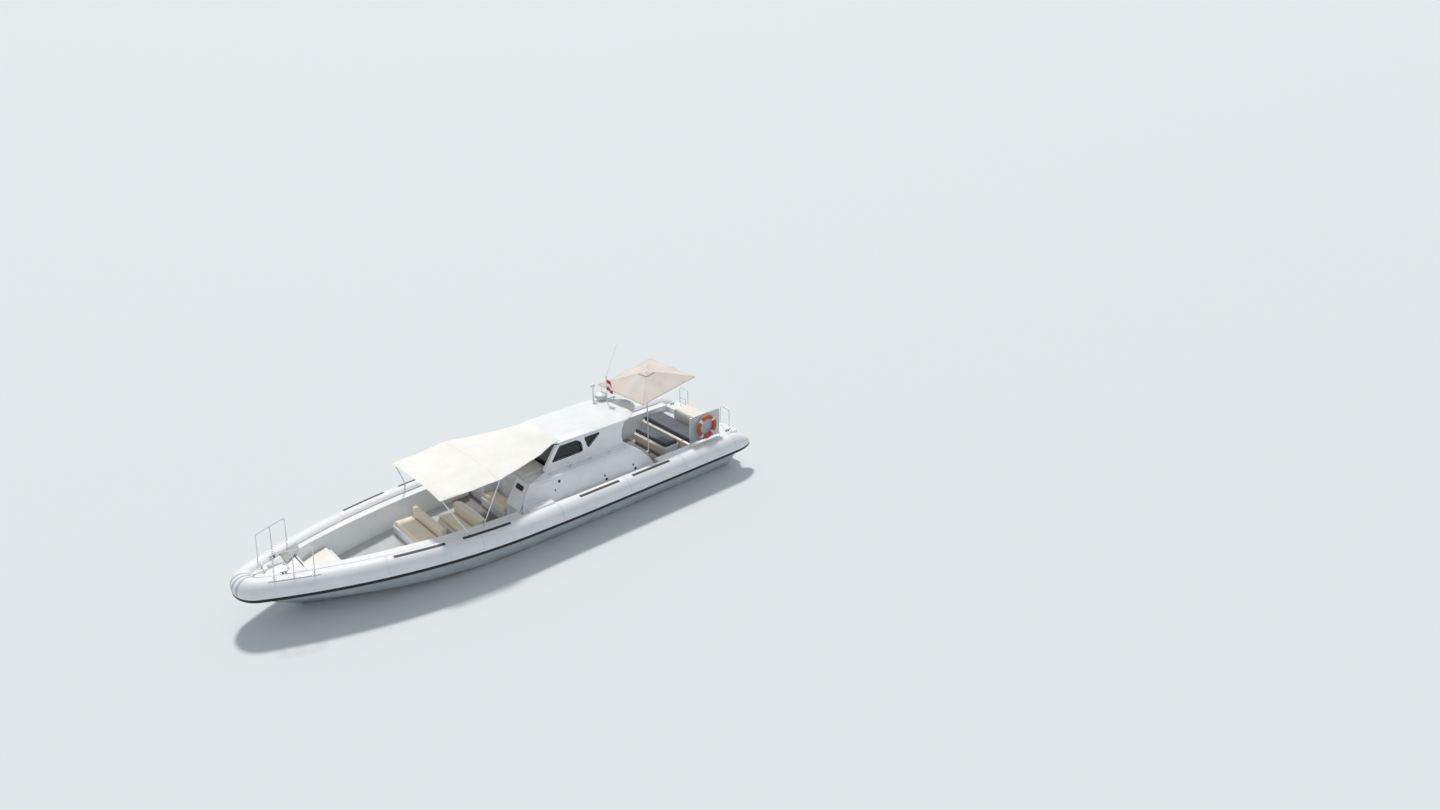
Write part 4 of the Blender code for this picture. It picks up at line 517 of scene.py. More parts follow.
def bar(name, route, profile, facing=(0.0, 0.0, 1.0), closed=False):
    """A profile of (across, away) carried along a route, `away` as near `facing` as the route lets it."""
    route = np.asarray(route, float)
    along = np.roll(route, -1, axis=0) - np.roll(route, 1, axis=0) if closed else np.gradient(route, axis=0)
    across = np.cross(along, facing)
    across /= np.linalg.norm(across, axis=1, keepdims=True)
    away = np.cross(across, along)
    away /= np.linalg.norm(away, axis=1, keepdims=True)
    grid = carried(profile, route, across, away)
    return skin(name, np.concatenate([grid, grid[:1]]) if closed else grid, caps=not closed)


def oval(half_width, half_height, sides=12):
    """Points of an ellipse."""
    return circle(1.0, sides) * (half_width, half_height)


def lathe(name, outline, foot, axis=(0.0, 0.0, 1.0), sides=24):
    """An outline of (radius, height) turned about an axis that starts at its foot."""
    axis = np.asarray(axis, float) / np.linalg.norm(axis)
    first = np.cross(axis, (0.31, 0.95, 0.05))
    first /= np.linalg.norm(first)
    turn = np.arange(sides)[:, None] * 2 * np.pi / sides
    ring = np.cos(turn) * first + np.sin(turn) * np.cross(axis, first)
    radius, height = np.array(outline, float).T[..., None, None]
    return skin(name, np.asarray(foot) + height * axis + radius * ring)


def rounded_box(name, low, high, rounding, steps=3):
    """Its furthest point along a direction n is sign(n) * (half - r) + r * n, from its middle."""
    low, high = np.asarray(low, float), np.asarray(high, float)
    quarter = np.linspace(0, np.pi / 2, steps + 1)
    turn = np.concatenate([quarter + k * np.pi / 2 for k in range(4)])
    tilt = np.concatenate([quarter - np.pi / 2, quarter])[:, None]
    one = np.ones(steps + 1)
    signs = (np.concatenate([one, -one, -one, one]), np.concatenate([one, one, -one, -one]),
             np.concatenate([-one, one])[:, None])
    ways = (np.cos(tilt) * np.cos(turn), np.cos(tilt) * np.sin(turn), np.sin(tilt) + 0 * turn)
    middle, half = (low + high) / 2, (high - low) / 2
    grid = [m + sign * (h - rounding) + rounding * way for m, h, sign, way in zip(middle, half, signs, ways)]
    return skin(name, np.stack(np.broadcast_arrays(*grid), axis=-1))


def rounded_line(corners, radii, steps=6, closed=True):
    """Each corner P becomes (1-t)^2 A + 2t(1-t) P + t^2 B, where A and B lie its radius off on its edges."""
    corners = np.asarray(corners, float)
    before, after = np.roll(corners, 1, axis=0) - corners, np.roll(corners, -1, axis=0) - corners
    reach = np.broadcast_to(np.asarray(radii, float), len(corners))[:, None]
    a = corners + reach * before / np.linalg.norm(before, axis=1, keepdims=True)
    b = corners + reach * after / np.linalg.norm(after, axis=1, keepdims=True)
    t = np.linspace(0, 1, steps)[:, None]
    curves = (1 - t) ** 2 * a[:, None] + 2 * t * (1 - t) * corners[:, None] + t**2 * b[:, None]
    if closed:
        return curves.reshape(-1, corners.shape[1])
    return np.concatenate([corners[:1], curves[1:-1].reshape(-1, corners.shape[1]), corners[-1:]])


def gathered(name, pieces, material, body, nodes=()):
    """Joins loose pieces into one and finishes it."""
    form = bmesh.new()
    for piece in pieces:
        form.from_mesh(piece.data)
        old = piece.data
        bpy.data.objects.remove(piece)
        bpy.data.meshes.remove(old)
    mesh = bpy.data.meshes.new(name)
    form.to_mesh(mesh)
    form.free()
    return keep(placed(name, mesh), material, body, nodes)


def landed(spots, *nodes, way=(0.0, 0.0, -1.0)):
    """Where rays from far off, through each spot along `way`, meet the given parts; a miss gives the spot."""
    form = bmesh.new()
    for node in nodes:
        form.from_mesh(frame["nodes"][node].data)
    cover = BVHTree.FromBMesh(form)
    form.free()
    way = Vector(way)
    return np.array([cover.ray_cast(Vector(spot) - way * 20, way)[0] or spot for spot in spots])


print("unit circle", circle(1.0, 4).round(2).tolist())

# %% [markdown]
# Seen from above, the collar runs straight along each side, then follows one long arc, and closes with a
# short arc round the nose. Its radius shrinks a little forward, it rises towards the bow, and its after
# ends close as half ellipsoids. All of it is a function of the distance along the path, so the same
# function also places what is glued on: the rubbing strake, seam tapes, grip strips and nose straps.

# %% The collar's path
TUBE_R, NOSE_TUBE_R = 0.300, 0.270
TUBE_Y, TUBE_Z, SHEER_RISE = 1.780, 0.850, 0.170
SHEER_START, SHEER_POWER = -1.000, 1.2
STERN_X, CONE_X, CONE_DROP = -7.180, -6.420, 0.095
ARC_X, NOSE_X, NOSE_R = 0.600, 6.930, 0.420
ARC_R = ((NOSE_X - NOSE_R - ARC_X) ** 2 + TUBE_Y**2 - NOSE_R**2) / (2 * (TUBE_Y - NOSE_R))
ARC_TURN = math.atan2(NOSE_X - NOSE_R - ARC_X, ARC_R - TUBE_Y)


def collar_path(x, turn):
    """Centre, outward direction and radius of the port tube, by x where turn is 0 and by turn on the arcs."""
    big = turn <= ARC_TURN
    arc_x = np.where(big, ARC_X + ARC_R * np.sin(turn), NOSE_X - NOSE_R + NOSE_R * np.sin(turn))
    x = np.where(turn > 0, arc_x, x)
    y = np.where(big, TUBE_Y - ARC_R + ARC_R * np.cos(turn), NOSE_R * np.cos(turn))
    ahead = np.clip((x - SHEER_START) / (NOSE_X - SHEER_START), 0, None)
    aft = np.clip((CONE_X - x) / (CONE_X - STERN_X), 0, 1)
    z = TUBE_Z + SHEER_RISE * ahead**SHEER_POWER - CONE_DROP * aft**2
    slim = np.clip((x - ARC_X) / (NOSE_X - ARC_X), 0, 1)
    radius = np.where(aft > 0, TUBE_R * np.sqrt(1 - aft**2), TUBE_R + (NOSE_TUBE_R - TUBE_R) * slim)
    outs = np.stack([np.sin(turn), np.cos(turn), np.zeros_like(turn)], axis=-1)
    return np.stack([x, y, z], axis=-1), outs, radius


def joined(*parts):
    """Several runs of the tube as one."""
    return tuple(np.concatenate(arrays) for arrays in zip(*parts))


def starboard(run):
    """The mirror image of a run of the port tube."""
    flip = np.array([1.0, -1.0, 1.0])
    return run[0] * flip, run[1] * flip, run[2]


def stretch(low, high, steps):
    """A run of the port tube between two x, over the straight and the long arc."""
    x = np.linspace(low, high, steps)
    return collar_path(x, np.arcsin(np.clip((x - ARC_X) / ARC_R, 0, 1)))


cone_x = STERN_X + (CONE_X - STERN_X) * (1 - np.cos(np.linspace(0.06, np.pi / 2, 16)))
straight_x = np.linspace(CONE_X, ARC_X, 60)[1:]
arc_turns = np.concatenate([np.linspace(0, ARC_TURN, 60)[1:], np.linspace(ARC_TURN, np.pi / 2, 22)[1:]])
still = np.zeros_like
port_run = joined(collar_path(cone_x, still(cone_x)), collar_path(straight_x, still(straight_x)),
                  collar_path(still(arc_turns), arc_turns))
whole_run = joined(port_run, tuple(part[-2::-1] for part in starboard(port_run)))
UP = np.array([0.0, 0.0, 1.0])
print("collar stations", len(whole_run[0]))

# %% Collar and rubbing strake
COLLAR_SIDES = 48


def around(run, angles, proud=0.0):
    """Points of the tube's surface at angles from outward towards up, `proud` metres off it."""
    centre, out, radius = run
    reach = (radius[:, None] + proud)[..., None]
    way = np.cos(angles)[..., None] * out[:, None] + np.sin(angles)[..., None] * UP
    return centre[:, None] + reach * way


collar = skin("inflatable_collar_skin", around(whole_run, np.arange(COLLAR_SIDES) * 2 * np.pi / COLLAR_SIDES))
keep(collar, COLLAR_FABRIC, "boat", ("inflatable_collar",))

STRAKE_ANGLES = np.radians(np.array([-22, -24, -29, -36, -43, -48, -50]))
STRAKE_PROUD = np.array([-0.004, 0.016, 0.026, 0.029, 0.026, 0.016, -0.004])
strake_run = tuple(part[3:-3] for part in whole_run)
strake = skin("rubbing_strake", around(strake_run, STRAKE_ANGLES, STRAKE_PROUD[None]))
keep(strake, BLACK_RUBBER, "boat", ("rub_strake",))
print("collar triangles", len(collar.data.polygons) * 2)

# %% [markdown]
# Everything glued to the collar is a strip between two angles of its section: a white bonding strip over
# the strake, ring tapes over the seams between panels, narrow straps against chafe round the nose, and dark
# grip strips on top to sit and step on. A grey strip of painted shade lies the same way where the collar
# meets the deck's edge. Both sides follow one list.

# %% Strips glued to the collar
TAPE_T = 0.0022
BOND_ANGLES = (-21.5, -12)
RING_ANGLES = (-12, 138)
SEAM_X = (-6.400, -4.450, -2.480, -0.300, 1.950, 4.150)
SEAM_W = 0.055
GRIP_ANGLES = (71, 87)
GRIP_T = 0.008
GRIPS = ((2.810, 3.990), (1.120, 2.370), (-2.250, -0.970), (-4.020, -2.710))
NOSE_STRAPS = np.pi / 2 + np.array([-0.293, 0.0, 0.293])
NOSE_STRAP_W = 0.055
STRAP_T = 0.006
# A grey strip of painted shade along the collar's inner side, where it meets the deck.
SHADE_LINE_X = (-6.350, 6.300)
SHADE_LINE_ANGLES = (135.5, 138.5)
SHADE_LINE_T = 0.004
SINK, EDGE_SHARE, RING_STEPS = 0.003, 0.04, 24
SIDES = (lambda run: run, starboard)


def glued(name, run, low_deg, high_deg, thick, steps=3):
    """A thin strip on the tube between two angles: its edges sink in and its face stands `thick` off."""
    inner = np.linspace(low_deg, high_deg, steps + 2)
    edge = (high_deg - low_deg) * EDGE_SHARE
    angles = np.radians(np.concatenate([
        [low_deg], inner[:1] + edge, inner[1:-1], inner[-1:] - edge, [high_deg]]))
    proud = np.concatenate([[-SINK, thick], np.full(steps, thick), [thick, -SINK]])
    return skin(name, around(run, angles, proud[None]))


gathered("bonding_strip", [glued("strip", strake_run, *BOND_ANGLES, TAPE_T)], BOND_FABRIC, "boat")
rings, grips, shade_lines = [], [], []
for side in SIDES:
    for x in SEAM_X:
        span = side(stretch(x - SEAM_W / 2, x + SEAM_W / 2, 4))
        rings.append(glued("ring", span, *RING_ANGLES, TAPE_T, RING_STEPS))
    for low, high in GRIPS:
        grips.append(glued("grip", side(stretch(low, high, 24)), *GRIP_ANGLES, GRIP_T))
    shade_lines.append(glued("shade_line", side(stretch(*SHADE_LINE_X, 90)), *SHADE_LINE_ANGLES, SHADE_LINE_T))
strap_half = NOSE_STRAP_W / 2 / (NOSE_R + NOSE_TUBE_R)
straps = []
for turn in NOSE_STRAPS:
    turns = np.linspace(turn - strap_half, turn + strap_half, 5)
    straps.append(glued("strap", collar_path(still(turns), turns), *RING_ANGLES, STRAP_T, RING_STEPS))
gathered("collar_tapes", rings, TAPE_FABRIC, "boat")
gathered("nose_straps", straps, STRAP_FABRIC, "boat")
# The grey strips of painted shade along the deck's edge.
gathered("collar_shade_lines", shade_lines, SHADE_LINE_RUBBER, "boat")
gathered("grip_strips", grips, GRIP_RUBBER, "boat")
print("seam rings", len(SEAM_X) * 2, "grips", len(GRIPS) * 2)

# %% [markdown]
# The foredeck carries horn cleats, a pair of bitts, the lid's hinges and lift ring, the flanges that the
# pulpit stands on, with a thin base rail outside the port ones, and a grey sheet of painted shade laid from
# the starboard coaming to the deck, where the coaming's inner wall is in shade. Each fitting is dropped on
# the deck by a ray, so none floats.

# %% Foredeck fittings
DECK_PARTS = ("foredeck", "fore_cockpit_moulding", "inflatable_collar")
CLEAT_L, CLEAT_RISE, CLEAT_LIFT, HORN_R = 0.170, 0.036, 0.012, 0.0095
CLEAT_SPOTS = ((6.14, 0.36, 0), (6.10, -0.46, 0))
BITT_SPOTS = ((6.44, -0.06, 0), (6.44, -0.20, 0))
CLEAT_FOOT = ((0, 0), (0.022, 0), (0.022, 0.004), (0.011, 0.010), (0.009, 0.034), (0, 0.036))
FLANGE = ((0, 0), (0.036, 0), (0.036, 0.004), (0.020, 0.009), (0.018, 0.014), (0, 0.014))
BITT = ((0, 0), (0.040, 0), (0.040, 0.006), (0.020, 0.014), (0.018, 0.085), (0.028, 0.092), (0.028, 0.104),
        (0.020, 0.110), (0, 0.110))
KNUCKLE_YS, KNUCKLE_R, KNUCKLE_HALF, KNUCKLE_OFF = (-0.120, 0.120), 0.006, 0.032, (0.0145, 0.0070)
LEAF_HALF, LEAF_X, LEAF_Z = 0.028, (0.004, 0.048), (-0.001, 0.003)
LIFT_RING = ((0.013, 0), (0.026, 0), (0.026, 0.003), (0.020, 0.005), (0.013, 0.003), (0.013, 0))
LIFT_IN = 0.060
PULPIT_X = (5.630, 6.030, 6.410)
BASE_RAIL_X, BASE_RAIL_R, BASE_RAIL_ANGLE = (5.500, 6.520), 0.008, 66.0
# A grey sheet of painted shade, laid from the starboard coaming to the deck where the coaming's inner wall is
# in shade.
SHADE_SHEET = np.array([
    # after corners, then fore corners, starboard first
    [(5.450, -0.720, 1.196), (5.500, -0.410, 1.194)],
    [(5.940, -0.530, 1.208), (5.930, -0.080, 1.150)],
])
SHADE_SHEET_T, SHADE_SHEET_EDGE = 0.012, 0.003


def cleat(place, along, length=CLEAT_L):
    """A horn cleat: its bar thins and rises with the square of the distance from its middle."""
    share = np.linspace(-1, 1, 13)
    along = np.asarray(along, float) / np.linalg.norm(along)
    rise = CLEAT_RISE + CLEAT_LIFT * share**2
    route = place + share[:, None] * length / 2 * along + rise[:, None] * UP
    horn = bar("horn", route, circle(HORN_R, 10)[None] * (1.1 - 0.5 * share**2)[:, None, None])
    feet = [lathe("foot", CLEAT_FOOT, place + step * length * 0.2 * along, sides=14) for step in (-1, 1)]
    return [horn, *feet]


bow_spots = landed(CLEAT_SPOTS + BITT_SPOTS, *DECK_PARTS)
ground_tackle = cleat(bow_spots[0], (1.0, -0.25, 0.0)) + cleat(bow_spots[1], (1.0, 0.25, 0.0))
gathered("bow_cleats", ground_tackle, BLACK_PLASTIC, "boat")
gathered("bow_bitts", [lathe("bitt", BITT, spot) for spot in bow_spots[2:]], STAINLESS, "boat")

lid_low, lid_high = box_of("anchor_locker_lid")
hinge_line = np.array([lid_low[0] + 0.004, 0.0, lid_high[2]])
knuckle = ((0, -KNUCKLE_HALF), (KNUCKLE_R, -KNUCKLE_HALF), (KNUCKLE_R, KNUCKLE_HALF), (0, KNUCKLE_HALF))
knuckles = [lathe("knuckle", knuckle, hinge_line + (KNUCKLE_OFF[0], y, KNUCKLE_OFF[1]), axis=(0, 1, 0),
                  sides=12) for y in KNUCKLE_YS]
leaves = [rounded_box("leaf", hinge_line + (LEAF_X[0], y - LEAF_HALF, LEAF_Z[0]),
                      hinge_line + (LEAF_X[1], y + LEAF_HALF, LEAF_Z[1]), 0.0015) for y in KNUCKLE_YS]
lift = lathe("lift", LIFT_RING, (lid_high[0] - LIFT_IN, 0.0, lid_high[2] - 0.0005))
gathered("locker_lid_hardware", knuckles + leaves + [lift], STAINLESS, "anchor_locker_lid")

flanges = []
for side in SIDES:
    for x in PULPIT_X:
        centre, out, radius = side(stretch(x, x + 1e-3, 2))
        flanges.append(lathe("flange", FLANGE, centre[0] + (radius[0] - 0.002) * UP, sides=20))
rail_route = around(stretch(*BASE_RAIL_X, 40), np.radians([BASE_RAIL_ANGLE]), BASE_RAIL_R)[:, 0]
flanges.append(bar("rail", rail_route, circle(BASE_RAIL_R, 10)))
gathered("pulpit_feet", flanges, STAINLESS, "boat")

fore_share, side_share = np.meshgrid(np.linspace(0, 1, 9), np.linspace(0, 1, 9), indexing="ij")
fore_share, side_share = fore_share[..., None], side_share[..., None]
shade_sheet_grid = (SHADE_SHEET[0, 0] * (1 - fore_share) * (1 - side_share) + SHADE_SHEET[0, 1] * (1 - fore_share) * side_share
              + SHADE_SHEET[1, 0] * fore_share * (1 - side_share) + SHADE_SHEET[1, 1] * fore_share * side_share)
beneath = landed(shade_sheet_grid.reshape(-1, 3), *DECK_PARTS)
shade_sheet_grid[..., 2] += max(0.0, (beneath[:, 2] - shade_sheet_grid[..., 2].ravel()).max()) + SHADE_SHEET_T / 2
# The sheet of painted shade, thickened and rounded.
shade_sheet = skin("painted_shade_sheet", shade_sheet_grid, wrap=False)
thickened(shade_sheet, SHADE_SHEET_T, 0.0)
rounded(shade_sheet, SHADE_SHEET_EDGE)
keep(shade_sheet, SHADE_SHEET_GREY, "boat")
print("bow fittings stand at", bow_spots[:, 2].round(3).tolist())

# %% [markdown]
# The cabin sides lean in, so each fitting there has to lie on a slope. Two functions give the wall: how
# far out it stands at a height, and which way it faces there. Gaskets, round ports, the styling bead and the
# thick after edge all use them, and the mirror image repeats everything on the other side. A white strip
# closes the gap between the trunk's front and each side, and a step stands on the collar beside it.

# %% Fittings on the cabin sides
WALL = np.array([(0.943, 1.462), (1.0, 1.462), (1.2, 1.400), (1.42, 1.335), (1.62, 1.255), (1.70, 0.980),
                 (1.88, 0.944), (2.08, 0.904), (2.27, 0.866)])
WALL_AFT_X = np.array([-3.780, -3.745, -3.620, -3.420, -3.170, -3.060, -3.030, -3.080, -3.200])
WALL_T, WALL_EDGE_OFF = 0.060, 0.006
TAPER, TAPER_X, TAPER_END_X = 0.150, -0.480, 0.560
WINDOW = ((-0.760, 1.880), (-1.060, 2.215), (-1.600, 2.215), (-1.720, 2.130), (-1.740, 1.890))
WINDOW_RADII = (0.030, 0.040, 0.060, 0.060, 0.080)
QUARTER = ((-1.860, 2.215), (-2.360, 2.215), (-1.930, 1.930))
QUARTER_RADII = (0.035, 0.050, 0.045)
GASKET = oval(0.016, 0.008)
PORTS = ((-0.700, 1.480, 0.040), (-0.530, 1.300, 0.022), (-2.100, 1.180, 0.028), (-2.130, 1.075, 0.040),
         (-3.080, 1.180, 0.028), (-3.120, 1.065, 0.040))
LENS_SHARE, LIP_SHARE, HOLE_SHARE = 0.72, 0.86, 0.70
BEAD_X, BEAD_Z, BEAD = (-0.060, -3.130), 1.575, oval(0.006, 0.012)
AFT_EDGE = oval(0.036, 0.046, 16)
POST = oval(0.052, 0.020, 14)
POST_ENDS = np.array([(-0.478, 0.935, 1.705), (-0.972, 0.822, 2.262)])
POST_FACING = (0.75, 0.25, 0.6)
RAIL_FOOT_X, RAIL_FOOT_Y, RAIL_FOOT_Z = (-0.56, -2.50), 1.12, 1.700
RAIL_FOOT_SHARES = (0.0, 0.33, 0.67, 1.0)
CLOSING_Y, CLOSING_Z, CLOSING_T, CLOSING_OFF = (1.235, 1.345), (0.46, 1.42), 0.008, 0.012
TAPER_FROM_Z, CLOSING_LEDGE_Z = 1.1, 1.05
STEP_BOX, STEP_ROUND = ((-0.300, 1.490, 1.020), (0.450, 1.710, 1.200)), 0.035


def wall_y(x, z):
    """How far out the side stands: linear between its levels, less the taper forward."""
    ahead = np.clip((x - TAPER_X) / (TAPER_END_X - TAPER_X), 0, 1)
    return np.interp(z, WALL[:, 0], WALL[:, 1]) - np.where(z > TAPER_FROM_Z, TAPER * ahead, 0.0)


def wall_normal(z):
    """Square to the slope: (0, 1, -dy/dz), made a unit vector."""
    slope = (wall_y(-1.0, z + 0.01) - wall_y(-1.0, z - 0.01)) / 0.02
    normal = np.array([0.0, 1.0, -slope])
    return normal / np.linalg.norm(normal)


def on_wall(line, proud=0.0, side=1):
    """Lifts points (x, z) onto the side, `proud` metres off it."""
    x, z = np.asarray(line, float).T
    face = np.stack([x, wall_y(x, z), z], axis=-1) + proud * wall_normal(z.mean())
    return face * (1, side, 1)


gaskets, lenses, bezels, beads, edges, flanges = [], [], [], [], [], []
for side in (1, -1):
    flip = np.array([1, side, 1])
    for corners, radii in ((WINDOW, WINDOW_RADII), (QUARTER, QUARTER_RADII)):
        line = rounded_line(corners, radii, steps=8)
        facing = wall_normal(np.mean(line[:, 1])) * flip
        gaskets.append(bar("gasket", on_wall(line, 0.002, side), GASKET, facing, closed=True))
    for x, z, radius in PORTS:
        facing, foot = wall_normal(z) * flip, on_wall([(x, z)], -0.002, side)[0]
        hole, lip, lens_r = radius * HOLE_SHARE, radius * LIP_SHARE, radius * LENS_SHARE
        rim = ((hole, 0), (radius, 0), (radius, 0.005), (lip, 0.010), (hole, 0.006), (hole, 0))
        bezels.append(lathe("bezel", rim, foot, facing))
        lenses.append(lathe("lens", ((0, 0), (lens_r, 0), (lens_r, 0.005), (0, 0.008)), foot, facing))
    x = np.linspace(*BEAD_X, 48)
    beads.append(bar("bead", on_wall(np.stack([x, 0 * x + BEAD_Z], axis=-1), 0.0, side), BEAD,
                     wall_normal(BEAD_Z) * flip))
    height = np.concatenate([np.linspace(0.96, 1.69, 24), np.linspace(1.705, 2.25, 16)])
    route = np.stack([np.interp(height, WALL[:, 0], WALL_AFT_X) + WALL_EDGE_OFF,
                      wall_y(-3.0, height) - WALL_T / 2, height], axis=-1)
    edges.append(bar("edge", route * flip, AFT_EDGE, facing=(-1.0, 0.0, 0.0)))
    edges.append(bar("post", np.linspace(*POST_ENDS, 6) * flip, POST, facing=POST_FACING * flip))
    for share in RAIL_FOOT_SHARES:
        x = RAIL_FOOT_X[0] + (RAIL_FOOT_X[1] - RAIL_FOOT_X[0]) * share
        flanges.append(lathe("flange", FLANGE, (x, side * RAIL_FOOT_Y, RAIL_FOOT_Z), sides=20))
    heights = np.linspace(*CLOSING_Z, 13)
    faces = [(0, side * (CLOSING_Y[0] + 0.01), z) for z in heights]
    ahead = landed(faces, "trunk_moulding", way=(-1, 0, 0))[:, 0] - CLOSING_OFF
    outer = np.where(heights < CLOSING_LEDGE_Z, CLOSING_Y[1], wall_y(ahead, heights) - 0.020)
    inner = np.full_like(outer, CLOSING_Y[0])
    corners = ((0.0, inner), (0.0, outer), (CLOSING_T, outer), (CLOSING_T, inner))
    edges.append(skin("closing", np.stack(
        [np.stack([ahead - back, side * y, heights], axis=-1) for back, y in corners], axis=1)))
gathered("window_gaskets", gaskets, BLACK_RUBBER, "boat")
gathered("port_lenses", lenses, WINDOW_TINT, "boat")
gathered("port_bezels", bezels, BLACK_PLASTIC, "boat")
gathered("styling_beads", beads, TAPE_FABRIC, "boat")
gathered("cabin_after_edges", edges, GELCOAT, "boat")
gathered("handrail_flanges", flanges, STAINLESS, "boat")

step_low, step_high = (np.array(corner) for corner in STEP_BOX)
shells, tops = [], []
for side in (1, -1):
    low, high = step_low * (1, side, 1), step_high * (1, side, 1)
    low, high = np.minimum(low, high), np.maximum(low, high)
    shells.append(rounded_box("step", low, high, STEP_ROUND, steps=5))
    tops += cleat(np.array([*((low + high) / 2)[:2], high[2] - 0.001]), (1, 0, 0))
gathered("side_steps", shells, GELCOAT, "boat")
gathered("side_step_cleats", tops, STAINLESS, "boat")
print("gaskets", len(gaskets), "ports", len(PORTS) * 2)

# %% [markdown]
# The trunk's raked front has one louvred vent. Its place on the slope is found by rays from ahead: three
# of its corners give the plane, and the frame, its dark throat and its slats are laid out on that plane.

# %% Trunk vent
VENT_Y, VENT_Z = (0.700, 1.010), (1.405, 1.500)
VENT_SLATS, VENT_ROUND, VENT_PROUD = 4, 0.18, 0.004
SLAT_TURN = np.array([[0.8, 0.6], [-0.6, 0.8]])
vent_spots = [(3, VENT_Y[i], VENT_Z[k]) for i, k in ((0, 0), (1, 0), (0, 1))]
corner, beside, above = landed(vent_spots, "trunk_moulding", way=(-1.0, 0.0, 0.0))
wide, tall = beside - corner, above - corner
vent_facing = np.cross(wide, tall)
vent_facing /= np.linalg.norm(vent_facing)
shares = rounded_line(((0, 0), (1, 0), (1, 1), (0, 1)), VENT_ROUND)
vent_line = corner + shares[:, :1] * wide + shares[:, 1:] * tall
vent = [bar("frame", vent_line + VENT_PROUD * vent_facing, oval(0.011, 0.009), vent_facing, closed=True),
        skin("throat", np.stack([vent_line + 0.001 * vent_facing, vent_line + VENT_PROUD * vent_facing]))]
for number in range(VENT_SLATS):
    middle = corner + tall * (number + 0.5) / VENT_SLATS + 0.009 * vent_facing
    ends = middle + np.linspace(0.03, 0.97, 5)[:, None] * wide
    vent.append(bar("slat", ends, oval(0.009, 0.0025, 8) @ SLAT_TURN, vent_facing))
gathered("trunk_vent", vent, BLACK_PLASTIC, "boat")
print("vent faces", vent_facing.round(2).tolist())

# %% [markdown]
# On the after end of the roof stand a mushroom-shaped satellite antenna on its stalk, a thin pole and a
# trumpet horn, and a dark seam runs round the radar dome. All but the seam are outlines turned about an
# axis, which stands upright for the first two and lies along the boat for the horn.

# %% Roof gear
MUSHROOM = ((0, 0), (0.045, 0), (0.045, 0.010), (0.024, 0.022), (0.021, 0.390), (0.042, 0.410),
            (0.068, 0.432), (0.073, 0.455), (0.064, 0.488), (0.037, 0.512), (0, 0.520))
ROOF_POLE = ((0, 0), (0.009, 0), (0.009, 0.50), (0.006, 0.52), (0, 0.52))
TRUMPET = ((0, 0), (0.022, 0), (0.022, 0.05), (0.012, 0.07), (0.014, 0.22), (0.034, 0.30), (0.046, 0.315),
           (0.040, 0.300), (0, 0.26))
HORN_STEM = ((0, 0), (0.026, 0), (0.018, 0.01), (0.014, 0.05), (0, 0.05))
TRUMPET_OFF, TRUMPET_AXIS = (-0.04, 0, 0.055), (1, 0, 0.05)
ROOF_SPOTS = ((-3.31, -0.72, 0), (-3.56, -0.66, 0), (-3.84, -0.45, 0))
DOME_SEAM_R, DOME_SEAM_SHARE = 0.1805, 0.55
SUNK = 0.001 * UP
dish_spot, pole_spot, horn_spot = landed(ROOF_SPOTS, "wheelhouse_roof")
keep(lathe("gps_mushroom", MUSHROOM, dish_spot - SUNK), WHITE_PLASTIC, "boat")
pole = [lathe("base", FLANGE, pole_spot - SUNK, sides=18), lathe("pole", ROOF_POLE, pole_spot, sides=12)]
gathered("roof_pole", pole, STAINLESS, "boat")
horn = [lathe("trumpet", TRUMPET, horn_spot + TRUMPET_OFF, axis=TRUMPET_AXIS, sides=18),
        lathe("stem", HORN_STEM, horn_spot - SUNK, sides=14)]
gathered("roof_horn", horn, STAINLESS, "boat")
dome_low, dome_high = box_of("radar_dome")
turn = np.linspace(0, 2 * np.pi, 49)[:-1, None]
seam_middle = np.array([
    *((dome_low + dome_high) / 2)[:2], dome_low[2] + (dome_high[2] - dome_low[2]) * DOME_SEAM_SHARE])
seam_line = seam_middle + DOME_SEAM_R * np.concatenate([np.cos(turn), np.sin(turn), 0 * turn], axis=1)
keep(bar("radar_seam", seam_line, oval(0.005, 0.005, 8), closed=True), BLACK_RUBBER, "boat")
print("roof gear stands at", dish_spot[2].round(3), pole_spot[2].round(3), horn_spot[2].round(3))

# %% [markdown]
# The quarter screen is a pale translucent panel in a bent steel frame, and the lifebuoy hangs on it: a
# ring of orange shell with four white bands of tape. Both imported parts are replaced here, because each
# has two finishes, and a band is simply the ring's own surface, a little thicker, over part of its turn.

# %% Quarter screen and lifebuoy
SCREEN_X, SCREEN_Z, SCREEN_Y = (-6.310, -5.170), (1.120, 1.930), 1.400
SCREEN_FOOT_Z = 1.0503
SCREEN_FRAME_R, SCREEN_PANEL_T, SCREEN_BEND = 0.0125, 0.010, 0.080
BAND_TURNS, BAND_HALF_TURN, BAND_T = (45, 135, 225, 315), 8, 0.003
GRAB_BULGE, GRAB_R = 0.014, 0.005
BUOY_SLIM, BUOY_FLAT = 0.004, 0.94
feet, sill, head = (np.array([(x, SCREEN_Y, z) for x in SCREEN_X]) for z in (SCREEN_FOOT_Z, *SCREEN_Z))
frame_line = rounded_line([feet[0], *head, feet[1]], SCREEN_BEND, steps=10, closed=False)
screen_frame = [bar("frame", frame_line, circle(SCREEN_FRAME_R, 14), facing=(0, 1, 0)),
                bar("sill", np.linspace(*sill, 3), circle(SCREEN_FRAME_R * 0.9, 14), facing=(0, 1, 0))]
screen_frame += [lathe("flange", FLANGE, foot - 0.0003 * UP, sides=20) for foot in feet]
gathered("quarter_screen_frame", screen_frame, STAINLESS, "boat", ("quarter_screen",))
pane_line = rounded_line(np.array([sill[0], head[0], head[1], sill[1]])[:, [0, 2]],
                         (0.002, SCREEN_BEND, SCREEN_BEND, 0.002), steps=8)
